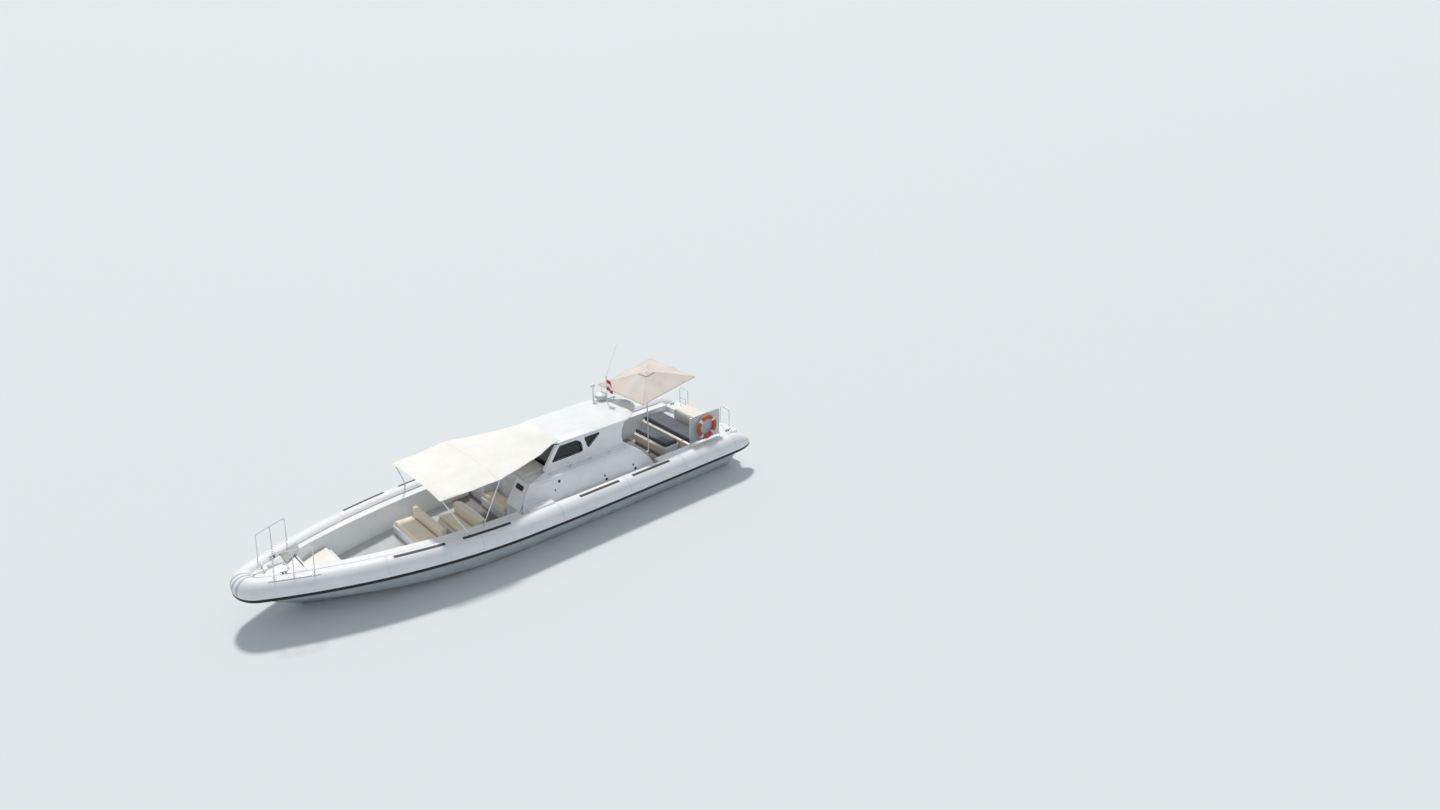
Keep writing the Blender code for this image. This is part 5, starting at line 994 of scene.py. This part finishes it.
pane_faces = [np.stack([pane_line[:, 0], np.full(len(pane_line), SCREEN_Y + step), pane_line[:, 1]], axis=-1)
              for step in (-SCREEN_PANEL_T / 2, SCREEN_PANEL_T / 2)]
keep(skin("quarter_screen_pane", np.stack(pane_faces)), FROSTED_PANE, "boat")

buoy_low, buoy_high = box_of("lifebuoy")
BUOY_MIDDLE = (buoy_low + buoy_high) / 2
BUOY_TUBE_R = (buoy_high[1] - buoy_low[1]) / 2
BUOY_R = (buoy_high[0] - buoy_low[0]) / 2 - BUOY_TUBE_R


def buoy_ring(turns, proud=0.0, sides=24):
    """Centre + (R + r cos b) * outward + r sin b * across, where r is a little under the tube's radius."""
    out = np.stack([np.cos(turns), np.zeros_like(turns), np.sin(turns)], axis=-1)
    section = circle(BUOY_TUBE_R - BUOY_SLIM + proud, sides) * (1.0, BUOY_FLAT)
    return carried(section, BUOY_MIDDLE + BUOY_R * out, out, np.broadcast_to((0.0, 1.0, 0.0), out.shape))


full_turn = np.radians(np.arange(0, 361, 5.0))
shell = skin("lifebuoy_shell", buoy_ring(full_turn), caps=False)
keep(shell, ORANGE_SHELL, "boat", ("lifebuoy",))
bands = []
for middle in BAND_TURNS:
    turns = np.radians(middle + np.linspace(-BAND_HALF_TURN, BAND_HALF_TURN, 7))
    grid = buoy_ring(turns, BAND_T)
    inside = buoy_ring(turns[[0, -1]], -BUOY_SLIM)
    bands.append(skin("band", np.concatenate([inside[:1], grid, inside[1:]])))
line_turns = np.radians(np.arange(0, 360, 3.0))
bulge = GRAB_BULGE * np.abs(np.sin(2 * (line_turns - np.radians(BAND_TURNS[0]))))
line_out = np.stack([np.cos(line_turns), still(line_turns), np.sin(line_turns)], axis=-1)
grab_line = bar("grab line", BUOY_MIDDLE + (BUOY_R + BUOY_TUBE_R + 0.001 + bulge)[:, None] * line_out,
                circle(GRAB_R, 8), closed=True)
gathered("lifebuoy_bands", bands + [grab_line], BAND_TAPE, "boat")
print("lifebuoy ring", round(float(BUOY_R), 3), "m, tube", round(float(BUOY_TUBE_R), 3), "m")

# %% [markdown]
# The stern has its own fittings: cleats on the quarter mouldings, flanges under the steel hoops, and two
# latches on the engine hatch, which swing with it.

# %% Stern fittings
HOOP_X, HOOP_YS = -6.959, (0.760, 1.160)
STERN_CLEAT, STERN_CLEAT_L = (-6.76, 1.30), 0.21
LATCH_YS, LATCH_HALF, LATCH_X, LATCH_Z = (-0.7, 0.7), 0.035, (-0.030, -0.008), (-0.001, 0.006)
stern_tackle, hoop_feet = [], []
for side in (1, -1):
    places = [(STERN_CLEAT[0], side * STERN_CLEAT[1], 0), *((HOOP_X, side * y, 0) for y in HOOP_YS)]
    spot, *hoop_spots = landed(places, "aft_cockpit_moulding")
    stern_tackle += cleat(spot, (1, 0, 0), STERN_CLEAT_L)
    hoop_feet += [lathe("flange", FLANGE, foot, sides=20) for foot in hoop_spots]
gathered("stern_cleats", stern_tackle, BLACK_PLASTIC, "boat")
gathered("hoop_feet", hoop_feet, STAINLESS, "boat")
hatch_fore, _, hatch_top = box_of("engine_hatch")[1]
latches = [rounded_box("latch", (hatch_fore + LATCH_X[0], y - LATCH_HALF, hatch_top + LATCH_Z[0]),
                       (hatch_fore + LATCH_X[1], y + LATCH_HALF, hatch_top + LATCH_Z[1]), 0.0025)
           for y in LATCH_YS]
gathered("hatch_latches", latches, STAINLESS, "engine_hatch")
print("stern cleats", len(stern_tackle) // 3, "hoop feet", len(hoop_feet))

# %% [markdown]
# Dark foam mats lie on the pale non-skid sole, in the passage ahead of the trunk and in the after cockpit.
# The middle seat has a smooth curved back moulding: a plan outline of half an oval and a straight line,
# carried upwards while it narrows.

# %% Sole mats and the middle seat's back
MAT_T = 0.006
SOLE_TOP = 0.450
MATS = (((0.640, -1.300), (1.130, 0.550)), ((0.300, -1.300), (0.634, -0.620)),
        ((-4.850, -1.200), (-3.250, 1.200)))
BACK_X, BACK_Y, BACK_Z = 1.412, (-0.320, 1.080), (0.4505, 0.985)
BACK_DEPTH, BACK_POWER, BACK_EDGE = (0.250, 0.085), 0.8, 0.020
mats = [rounded_box("mat", (*low, SOLE_TOP + 0.0003), (*high, SOLE_TOP + MAT_T), 0.002) for low, high in MATS]
gathered("sole_mats", mats, DECK_FOAM, "boat")


def seat_back(share, rise):
    """Plan of x = x0 - depth * (1 - |s|^3)^(1/2) across s from -1 to 1, its depth falling with height."""
    depth = BACK_DEPTH[0] + (BACK_DEPTH[1] - BACK_DEPTH[0]) * rise**BACK_POWER
    middle, half = np.mean(BACK_Y), (BACK_Y[1] - BACK_Y[0]) / 2
    x = BACK_X - depth * np.sqrt(1 - np.abs(share) ** 3)
    return np.stack([x, middle + half * share, BACK_Z[0] + (BACK_Z[1] - BACK_Z[0]) * rise], axis=-1)


share, rise = np.meshgrid(np.sin(np.linspace(-np.pi / 2, np.pi / 2, 40)), np.linspace(0, 1, 10))
back = skin("mid_seat_back", seat_back(share, rise))
rounded(back, BACK_EDGE, 3)
keep(back, GELCOAT, "boat")
print("mats", len(mats))

# %% [markdown]
# A cushion starts as a plain block, is remeshed into small even squares, and is then blown up by a cloth
# simulation with a little air pressure and no gravity, with its underside held, because a pad lies flat on
# its seat. Its sides pull in between the corners as real covers do. How far any point may move is capped.

# %% Blow up the cushions
VOXEL = 0.017
PRESSURE = 4.0
FRAMES = 20
SEAM_REACH = 0.022
SEAM_DEPTH = 0.012
PIPING_R, PIPING_POINTS, PIPING_POWER = 0.0055, 128, 12
BACK_REST_T, SEAT_PAD_T, SEAT_PARTING = 0.15, 0.10, 0.004
waiting = []


def coords(mesh):
    """A mesh's points as rows of x, y, z."""
    flat = np.empty(len(mesh.vertices) * 3)
    mesh.vertices.foreach_get("co", flat)
    return flat.reshape(-1, 3)


def cushion(made, material, body, slot, nodes, cap=0.022, inset=0.012, lay=2, seams=(), piped=True):
    """Queues a form as a cushion: drawn in a little and remeshed. Its back lies across the axis `lay`."""
    points = coords(made.data)
    low, high = points.min(0), points.max(0)
    share = (points - low) / (high - low)
    low_in, high_in = low + inset, high - inset
    low_in[lay] = low[lay]
    made.data.vertices.foreach_set("co", (low_in + share * (high_in - low_in)).ravel())
    grid = made.modifiers.new("even squares", "REMESH")
    grid.mode = "VOXEL"
    grid.voxel_size = VOXEL
    bpy.context.view_layer.update()
    made.data = bpy.data.meshes.new_from_object(made.evaluated_get(bpy.context.evaluated_depsgraph_get()))
    made.modifiers.clear()
    made.data.shade_smooth()
    waiting.append((made, material, body, slot, nodes, cap, lay, seams, piped))
    return made


def blow_up():
    """Simulates every queued cushion at once, then caps how far each point went."""
    rests = []
    for made, _, _, _, _, _, lay, *_ in waiting:
        rest = coords(made.data)
        rests.append(rest)
        held = made.vertex_groups.new(name="underside")
        held.add(np.flatnonzero(rest[:, lay] < rest[:, lay].min() + VOXEL * 0.6).tolist(), 1.0, "REPLACE")
        cloth = made.modifiers.new("air", "CLOTH").settings
        cloth.vertex_group_mass = "underside"
        cloth.use_pressure = True
        cloth.uniform_pressure_force = PRESSURE
        cloth.effector_weights.gravity = 0.0
    for number in range(1, FRAMES + 1):
        bpy.context.scene.frame_set(number)
    graph = bpy.context.evaluated_depsgraph_get()
    for (made, _, _, _, _, cap, lay, seams, _), rest in zip(waiting, rests):
        blown = coords(made.evaluated_get(graph).data)
        step = blown - rest
        reach = np.linalg.norm(step, axis=1, keepdims=True)
        step *= np.minimum(1.0, cap / np.maximum(reach, 1e-9))
        blown = rest + step
        upper = np.clip((blown[:, lay] - rest[:, lay].min()) / np.ptp(rest[:, lay]) * 3 - 1.5, 0, 1)
        for axis, place in seams:
            groove = np.exp(-(((blown[:, axis] - place) / SEAM_REACH) ** 2))
            blown[:, lay] -= SEAM_DEPTH * groove * upper
        made.modifiers.clear()
        made.vertex_groups.clear()
        made.data.vertices.foreach_set("co", blown.ravel())
        made.data.update()
        print(made.name, "rose", round(float(reach.max()) * 1000, 1), "mm before its cap")
    bpy.context.scene.frame_set(1)


def piping(made, lay):
    """A welt round the face: the cover's nearest points to a squared oval, |c|^12 + |s|^12 = 1."""
    points = coords(made.data)
    low, high = points.min(0), points.max(0)
    turns = np.arange(PIPING_POINTS) * 2 * np.pi / PIPING_POINTS
    cosine, sine = np.abs(np.cos(turns)) ** PIPING_POWER, np.abs(np.sin(turns)) ** PIPING_POWER
    squared = 1 / (cosine + sine) ** (1 / PIPING_POWER)
    rim = np.repeat(((low + high) / 2)[None], PIPING_POINTS, axis=0)
    first, second = (axis for axis in range(3) if axis != lay)
    rim[:, first] += (high - low)[first] / 2 * np.cos(turns) * squared
    rim[:, second] += (high - low)[second] / 2 * np.sin(turns) * squared
    rim[:, lay] = high[lay]
    cover = BVHTree.FromObject(made, bpy.context.evaluated_depsgraph_get())
    route = np.array([cover.find_nearest(Vector(point))[0] for point in rim])
    for _ in range(3):
        route = (np.roll(route, 1, axis=0) + 2 * route + np.roll(route, -1, axis=0)) / 4
    return bar(made.name + "_piping", route, circle(PIPING_R, 8), np.eye(3)[lay], closed=True)


def split_seat(node):
    """The low and high corners of a seat pad and of the back rest behind it, from a packed L."""
    low, high = box_of(node)
    seat_low = np.array([low[0] + BACK_REST_T + SEAT_PARTING, low[1], low[2]])
    seat_high = np.array([high[0], high[1], low[2] + SEAT_PAD_T])
    return (seat_low, seat_high), (low, np.array([low[0] + BACK_REST_T, high[1], high[2]]))


for seat in ("fore", "mid"):
    node = f"{seat}_seat_cushion"
    pad, rest_back = split_seat(node)
    middle = [(1, (pad[0][1] + pad[1][1]) / 2)]
    cushion(rounded_box(f"{seat}_seat_pad", *pad, 0.03), CREAM_VINYL, "boat", "cream", (node,), seams=middle)
    cushion(rounded_box(f"{seat}_back_rest", *rest_back, 0.035), CREAM_VINYL, "boat", "cream", (node,),
            inset=0.008, seams=middle)
PADS = {
    # node: finish, seams as (axis, share of its length)
    "trunk_pad": (WHITE_VINYL, ((1, 0.33), (1, 0.67))),
    "trunk_seat_cushion": (CREAM_VINYL, ((1, 0.5),)),
    "aft_bench_cushion": (SLATE_VINYL, ((1, 0.5),)),
    "sunpad": (SLATE_VINYL, ((1, 0.25), (1, 0.5), (1, 0.75))),
    "stern_pad": (WHITE_VINYL, ((1, 0.5),)),
}
for node, (finish_used, shares) in PADS.items():
    low, high = box_of(node)
    seams = [(axis, low[axis] + (high[axis] - low[axis]) * share) for axis, share in shares]
    cushion(rounded_box(node + "_cover", low, high, 0.03), finish_used, body_of_node[node],
            slot_of_node[node], (node,), seams=seams)
for node, finish_used in (("bow_pad", WHITE_VINYL), ("helm_seat", CREAM_VINYL)):
    cushion(placed(node + "_cover", welded(node)), finish_used, "boat", slot_of_node[node], (node,),
            cap=0.018, piped=False)
FRONTS = {
    # upholstered fronts: body, low and high corners, seams across at y
    "aft_bench_front": ("boat", ((-4.880, -0.880, 0.500), (-4.838, 0.580, 0.755)), (-0.390, 0.100)),
    "hatch_box_front": ("boat", ((-5.460, -1.200, 0.640), (-5.432, 1.200, 0.800)), (-0.600, 0.0, 0.600)),
    "hatch_front": ("engine_hatch", ((-5.460, -1.200, 0.812), (-5.432, 1.200, 0.872)), (-0.600, 0.0, 0.600)),
}
for name, (body, (low, high), places) in FRONTS.items():
    cushion(rounded_box(name, low, high, 0.012), CREAM_VINYL, body, "cream", (), cap=0.008, inset=0.005,
            lay=0, seams=[(1, place) for place in places])
blow_up()
for made, material, body, slot, nodes, cap, lay, _, piped in waiting:
    if piped:
        keep(piping(made, lay), material, body)
    soften = made.modifiers.new("soften", "SUBSURF")
    soften.levels = soften.render_levels = 1
    keep(made, material, body, nodes)
print("cushions", len(waiting))

# %% [markdown]
# The awning is one sheet of canvas stretched over two bows, and its after end lies on the roof. Between
# the bows its edges pull in and it sags a little. The sheet is a function of two values, one across and
# one along: width and edge height come from the bow stations, and the crown is a parabola. The hem, the
# pockets that the bows run in and the sewn seams are thin bars that follow the same function.

# %% Awning
AWNING_X = np.array([2.640, 1.900, 1.050, 0.300, -0.400, -0.860, -1.120])
AWNING_HALF = np.array([1.280, 1.345, 1.420, 1.190, 0.980, 0.800, 0.790])
AWNING_EDGE_Z = np.array([2.150, 2.180, 2.220, 2.240, 2.265, 2.330, 2.330])
AWNING_CROWN, AWNING_SAG, AWNING_PULL = 0.090, 0.022, 0.012
PULL_FROM_X, PULL_LENGTH = -0.86, 3.5
CREASE, RIPPLE, FAN, FAN_PLEATS, FAN_REACH = 0.004, 0.002, 0.006, 24, 0.8
CANVAS_T, CANVAS_BELOW = 0.003, 0.004
BOW_STATIONS = (2.60, 1.06, -0.86)
LAP_X = (-0.860, -1.120)
HEM, POCKET, SEAM = oval(0.014, 0.0035, 8), oval(0.045, 0.0030, 8), oval(0.010, 0.0022, 8)
SEAM_SHARES = (-0.36, 0.36)
ACROSS, ALONG = 61, 127
roof_shares = np.linspace(-1, 1, 21)
roof_line = landed([(LAP_X[1], AWNING_HALF[-1] * share, 0) for share in roof_shares], "wheelhouse_roof")[:, 2]


def awning_sheet(across, x):
    """Edge height + crown * (1 - across^2), less a sag between the bows; its end lies on the roof."""
    half = np.interp(-x, -AWNING_X, AWNING_HALF)
    edge = np.interp(-x, -AWNING_X, AWNING_EDGE_Z)
    sag = np.zeros_like(x)
    for fore, aft in zip(BOW_STATIONS, BOW_STATIONS[1:]):
        share = np.clip((fore - x) / (fore - aft), 0, 1)
        sag += AWNING_SAG * np.sin(np.pi * share) ** 2
    pull = 1 - AWNING_PULL * np.sin(np.pi * np.clip((x - PULL_FROM_X) / PULL_LENGTH, 0, 1)) ** 2
    creases = CREASE * np.sin(9 * x + 7 * across) * across**2 + RIPPLE * np.sin(23 * x - 11 * across)
    for hand in (-1, 1):
        inward, behind = AWNING_HALF[0] - hand * half * across, AWNING_X[0] - x + 1e-6
        reach = np.hypot(inward, behind)
        fan = FAN * np.sin(FAN_PLEATS * np.arctan2(inward, behind))
        creases += fan * np.exp(-reach / FAN_REACH) * np.clip(4 * reach, 0, 1)
    z = edge + AWNING_CROWN * (1 - across**2) - sag * (1 - 0.4 * across**2) + creases - CANVAS_BELOW
    lap = np.clip((LAP_X[0] - x) / (LAP_X[0] - LAP_X[1]), 0, 1)
    lap = lap * lap * (3 - 2 * lap)
    z = z * (1 - lap) + (np.interp(across, roof_shares, roof_line) + 2 * CANVAS_T) * lap
    return np.stack([x, half * across * pull, z], axis=-1)


edge_share, side_x = np.linspace(-1, 1, ACROSS), np.linspace(AWNING_X[0], AWNING_X[-1], ALONG)
awning = skin("awning_canvas", awning_sheet(*np.meshgrid(edge_share, side_x)), wrap=False)
thickened(awning, CANVAS_T)
keep(awning, AWNING_CANVAS, "boat", ("awning",))

outline = np.concatenate([
    awning_sheet(edge_share, np.full(ACROSS, AWNING_X[0])), awning_sheet(np.ones(ALONG - 2), side_x[1:-1]),
    awning_sheet(-edge_share, np.full(ACROSS, AWNING_X[-1])),
    awning_sheet(-np.ones(ALONG - 2), side_x[-2:0:-1])])
sewn = [bar("hem", outline, HEM, closed=True)]
for x in (BOW_STATIONS[0] - 0.02, BOW_STATIONS[1]):
    sewn.append(bar("pocket", awning_sheet(edge_share, np.full(ACROSS, x)), POCKET))
for share in SEAM_SHARES:
    sewn.append(bar("seam", awning_sheet(np.full(ALONG, share), side_x), SEAM))
awning_seams = gathered("awning_seams", sewn, AWNING_CANVAS, "boat")

# %% [markdown]
# The parasol is a near square of polyester, four panels over four ribs that run to its corners. Its height
# falls from the crown with the larger of two shares, one for each side, which makes a four-sided pyramid,
# and its cloth is slack between the ribs. A second small pyramid covers the vent at the top.

# %% Parasol
PARASOL_PLACE = np.array([-4.770, -0.060, 3.060])
PARASOL_HALF = np.array([1.110, 0.920])
PARASOL_DROP, PARASOL_POWER = 0.300, 1.15
PARASOL_SLACK, PARASOL_HOLLOW, CLOTH_T = 0.018, 0.022, 0.002
PARASOL_TURN, PARASOL_TILT = math.radians(7.6), math.radians(5.5)
lean = Matrix.Rotation(PARASOL_TILT, 3, Vector((-1.0, 1.0, 0.0)).normalized())
PARASOL_AXES = np.array(lean @ Matrix.Rotation(PARASOL_TURN, 3, "Z"))


def parasol_sheet(turn, share):
    """Square rings: reach = share / max(|cos|, |sin|), drop = share^1.15, slack between the ribs."""
    square = 1 / np.maximum(np.abs(np.cos(turn)), np.abs(np.sin(turn)))
    slack = np.sin(4 * turn) ** 2
    reach = share * square * (1 - PARASOL_HOLLOW * slack * share)
    z = -PARASOL_DROP * share**PARASOL_POWER - PARASOL_SLACK * slack * share * (1 - 0.35 * share)
    x, y = PARASOL_HALF[0] * reach * np.cos(turn), PARASOL_HALF[1] * reach * np.sin(turn)
    local = np.stack([x, y, z], axis=-1)
    return PARASOL_PLACE + local @ PARASOL_AXES.T


edge_turns = np.arange(160) * 2 * np.pi / 160
turns, shares = np.meshgrid(edge_turns, np.linspace(0.03, 1.0, 26))
canopy = skin("parasol_canopy_cloth", parasol_sheet(turns, shares), caps=False)
thickened(canopy, CLOTH_T)
keep(canopy, PARASOL_CLOTH, "boat", ("parasol_canopy",))

PARASOL_UP = PARASOL_AXES[:, 2]
CAP_SHARE, CAP_LIFT = 0.17, 0.012
cap_turns, cap_shares = np.meshgrid(np.arange(96) * 2 * np.pi / 96, np.linspace(0.015, CAP_SHARE, 8))
vent_cap = skin("parasol_vent_cap", parasol_sheet(cap_turns, cap_shares) + CAP_LIFT * PARASOL_UP, caps=False)
thickened(vent_cap, CLOTH_T)
keep(vent_cap, PARASOL_CLOTH, "boat")

RIB_TURNS = np.arange(1, 8, 2) * np.pi / 4
rib_share = np.linspace(0.04, 1.0, 30)
sewn = [bar("hem", parasol_sheet(edge_turns, np.ones(160)), oval(0.010, 0.0035, 8), PARASOL_UP, closed=True),
        bar("cap hem", parasol_sheet(edge_turns, np.full(160, CAP_SHARE)) + CAP_LIFT * PARASOL_UP,
            oval(0.007, 0.003, 8), PARASOL_UP, closed=True)]
sewn += [bar("seam", parasol_sheet(np.full(30, turn), rib_share), oval(0.008, 0.003, 8), PARASOL_UP)
         for turn in RIB_TURNS]
parasol_seams = gathered("parasol_seams", sewn, PARASOL_SEAM, "boat")

RUNNER_Z = 2.500
RUNNER = ((0.020, 0), (0.034, 0), (0.034, 0.014), (0.027, 0.020), (0.027, 0.058), (0.020, 0.060), (0.020, 0))
HUB = ((0, 0), (0.030, 0), (0.036, 0.012), (0.036, 0.030), (0, 0.034))
FINIAL = ((0, 0), (0.020, 0), (0.022, 0.010), (0.012, 0.020), (0.014, 0.034), (0, 0.046))
HUB_BELOW, RIB_BELOW, JOINT_BELOW, JOINT_SHARE = 0.052, 0.012, 0.020, 0.52
STRUT_UP, STRUT_OUT = 0.040, 0.030
runner = np.array([*(sum(box_of("parasol_pole")) / 2)[:2], RUNNER_Z])
frame_bars = [lathe("runner", RUNNER, runner),
              lathe("hub", HUB, PARASOL_PLACE - HUB_BELOW * PARASOL_UP, PARASOL_UP),
              lathe("finial", FINIAL, PARASOL_PLACE + (CAP_LIFT - 0.006) * PARASOL_UP, PARASOL_UP)]
for turn in RIB_TURNS:
    rib = parasol_sheet(np.full(12, turn), np.linspace(0.05, 0.985, 12)) - RIB_BELOW * PARASOL_UP
    frame_bars.append(bar("rib", rib, oval(0.005, 0.008, 8), PARASOL_UP))
    joint = parasol_sheet(np.array([turn]), np.array([JOINT_SHARE]))[0] - JOINT_BELOW * PARASOL_UP
    outward = np.array([np.cos(turn + PARASOL_TURN), np.sin(turn + PARASOL_TURN), 0])
    start = runner + STRUT_UP * UP + STRUT_OUT * outward
    frame_bars.append(bar("strut", np.linspace(start, joint, 4), oval(0.004, 0.007, 8)))
gathered("parasol_ribs", frame_bars, WHITE_PLASTIC, "boat")

# %% [markdown]
# The flag is a plain one of three bands on a short staff. It hangs in soft folds that grow away from the
# hoist, and its bands follow the height of the cloth, so they bend with it.

# %% Flag
flag_low, flag_high = box_of("ensign")
FLAG_BANDS = ("#B3222E", "#EDEAE6", "#B3222E")
FLAG_FLAT, FLAG_IN, FLAG_FOLD, FLAG_DROOP = (0.26, 0.34), 0.002, 0.030, 0.060
made, tree, shader, place = finish("flag_polyester", 0.7, Sheen_Weight=0.2)
spot = add(tree, "ShaderNodeTexCoord").outputs["UV"]
height = add(tree, "ShaderNodeSeparateXYZ", {"Vector": spot}).outputs["Y"]
bands = add(tree, "ShaderNodeValToRGB", {"Fac": height})
bands.color_ramp.interpolation = "CONSTANT"
bands.color_ramp.elements.new(0.5)
for element, code, stop in zip(bands.color_ramp.elements, FLAG_BANDS, (0.0, 1 / 3, 2 / 3)):
    element.position = stop
    element.color = linear(code)
tree.links.new(bands.outputs["Color"], shader.inputs["Base Color"])
FLAG_CLOTH = made

fly, drop = np.meshgrid(np.linspace(0, 1, 29), np.linspace(0, 1, 33))
flag_grid = np.stack([
    (flag_low[0] + flag_high[0]) / 2 + FLAG_FOLD * fly * np.sin(2 * np.pi * (1.3 * fly + 0.4 * drop)),
    flag_low[1] + FLAG_IN + (flag_high[1] - flag_low[1] - 2 * FLAG_IN) * fly,
    flag_high[2] - FLAG_FLAT[1] * drop - FLAG_DROOP * fly**1.5,
], axis=-1)
flag = skin("ensign_cloth", flag_grid, wrap=False)
layer = flag.data.uv_layers.new(name="UVMap")
corners = np.empty(len(flag.data.loops), np.int32)
flag.data.loops.foreach_get("vertex_index", corners)
layer.data.foreach_set("uv", np.stack([fly, 1 - drop], axis=-1).reshape(-1, 2)[corners].ravel())
thickened(flag, CLOTH_T)
keep(flag, FLAG_CLOTH, "boat", ("ensign",))
print("flag", flag.name)

# %% [markdown]
# The studio is a pale floor at the waterline and an even sky of light, with one broad lamp for the sun.
# The floor shows the camera the same pale tone as the sky does, so that the horizon disappears.

# %% Floor and light
FLOOR_REACH = 900.0
SKY_STRENGTH, SUN_STRENGTH, SUN_ANGLE, SUN_COLOUR = 0.56, 2.35, math.radians(7), (1.0, 0.97, 0.92)
SUN_FROM = Vector((-0.28, -0.58, 1.0))
floor_mesh = bpy.data.meshes.new("studio_floor")
floor_mesh.from_pydata(
    [(x, y, 0.0) for x, y in ((-1, -1), (1, -1), (1, 1), (-1, 1))], [], [(0, 1, 2, 3)])
floor_mesh.transform(Matrix.Scale(FLOOR_REACH, 4))
floor = placed("studio_floor", floor_mesh)
made, tree, shader, place = finish("pale_floor", 0.9, Base_Color=linear("#D9DEE0"))
floor.data.materials.append(made)

world = bpy.data.worlds.new("studio")
bpy.context.scene.world = world
world.use_nodes = True
sky = world.node_tree.nodes["Background"]
sky.inputs["Color"].default_value = linear("#E6EDF5")
sky.inputs["Strength"].default_value = SKY_STRENGTH
seen_sky = add(world.node_tree, "ShaderNodeBackground", {"Color": linear("#E0E6E9"), "Strength": 1.0})
ray = add(world.node_tree, "ShaderNodeLightPath", {})
direct = add(world.node_tree, "ShaderNodeMath", {
    0: ray.outputs["Is Camera Ray"], 1: ray.outputs["Is Glossy Ray"]}, operation="MAXIMUM")
mixed = add(world.node_tree, "ShaderNodeMixShader", {
    0: direct.outputs["Value"], 1: sky.outputs["Background"], 2: seen_sky.outputs["Background"]})
world.node_tree.links.new(mixed.outputs["Shader"], world.node_tree.nodes["World Output"].inputs["Surface"])

sun = bpy.data.lights.new("sun", "SUN")
sun.energy, sun.angle, sun.color = SUN_STRENGTH, SUN_ANGLE, SUN_COLOUR
sun_object = bpy.data.objects.new("sun", sun)
bpy.context.scene.collection.objects.link(sun_object)
sun_object.rotation_euler = SUN_FROM.to_track_quat("Z", "Y").to_euler()
bpy.context.scene.view_settings.view_transform = "Standard"
print("lamps 1, sky", sky.inputs["Strength"].default_value)
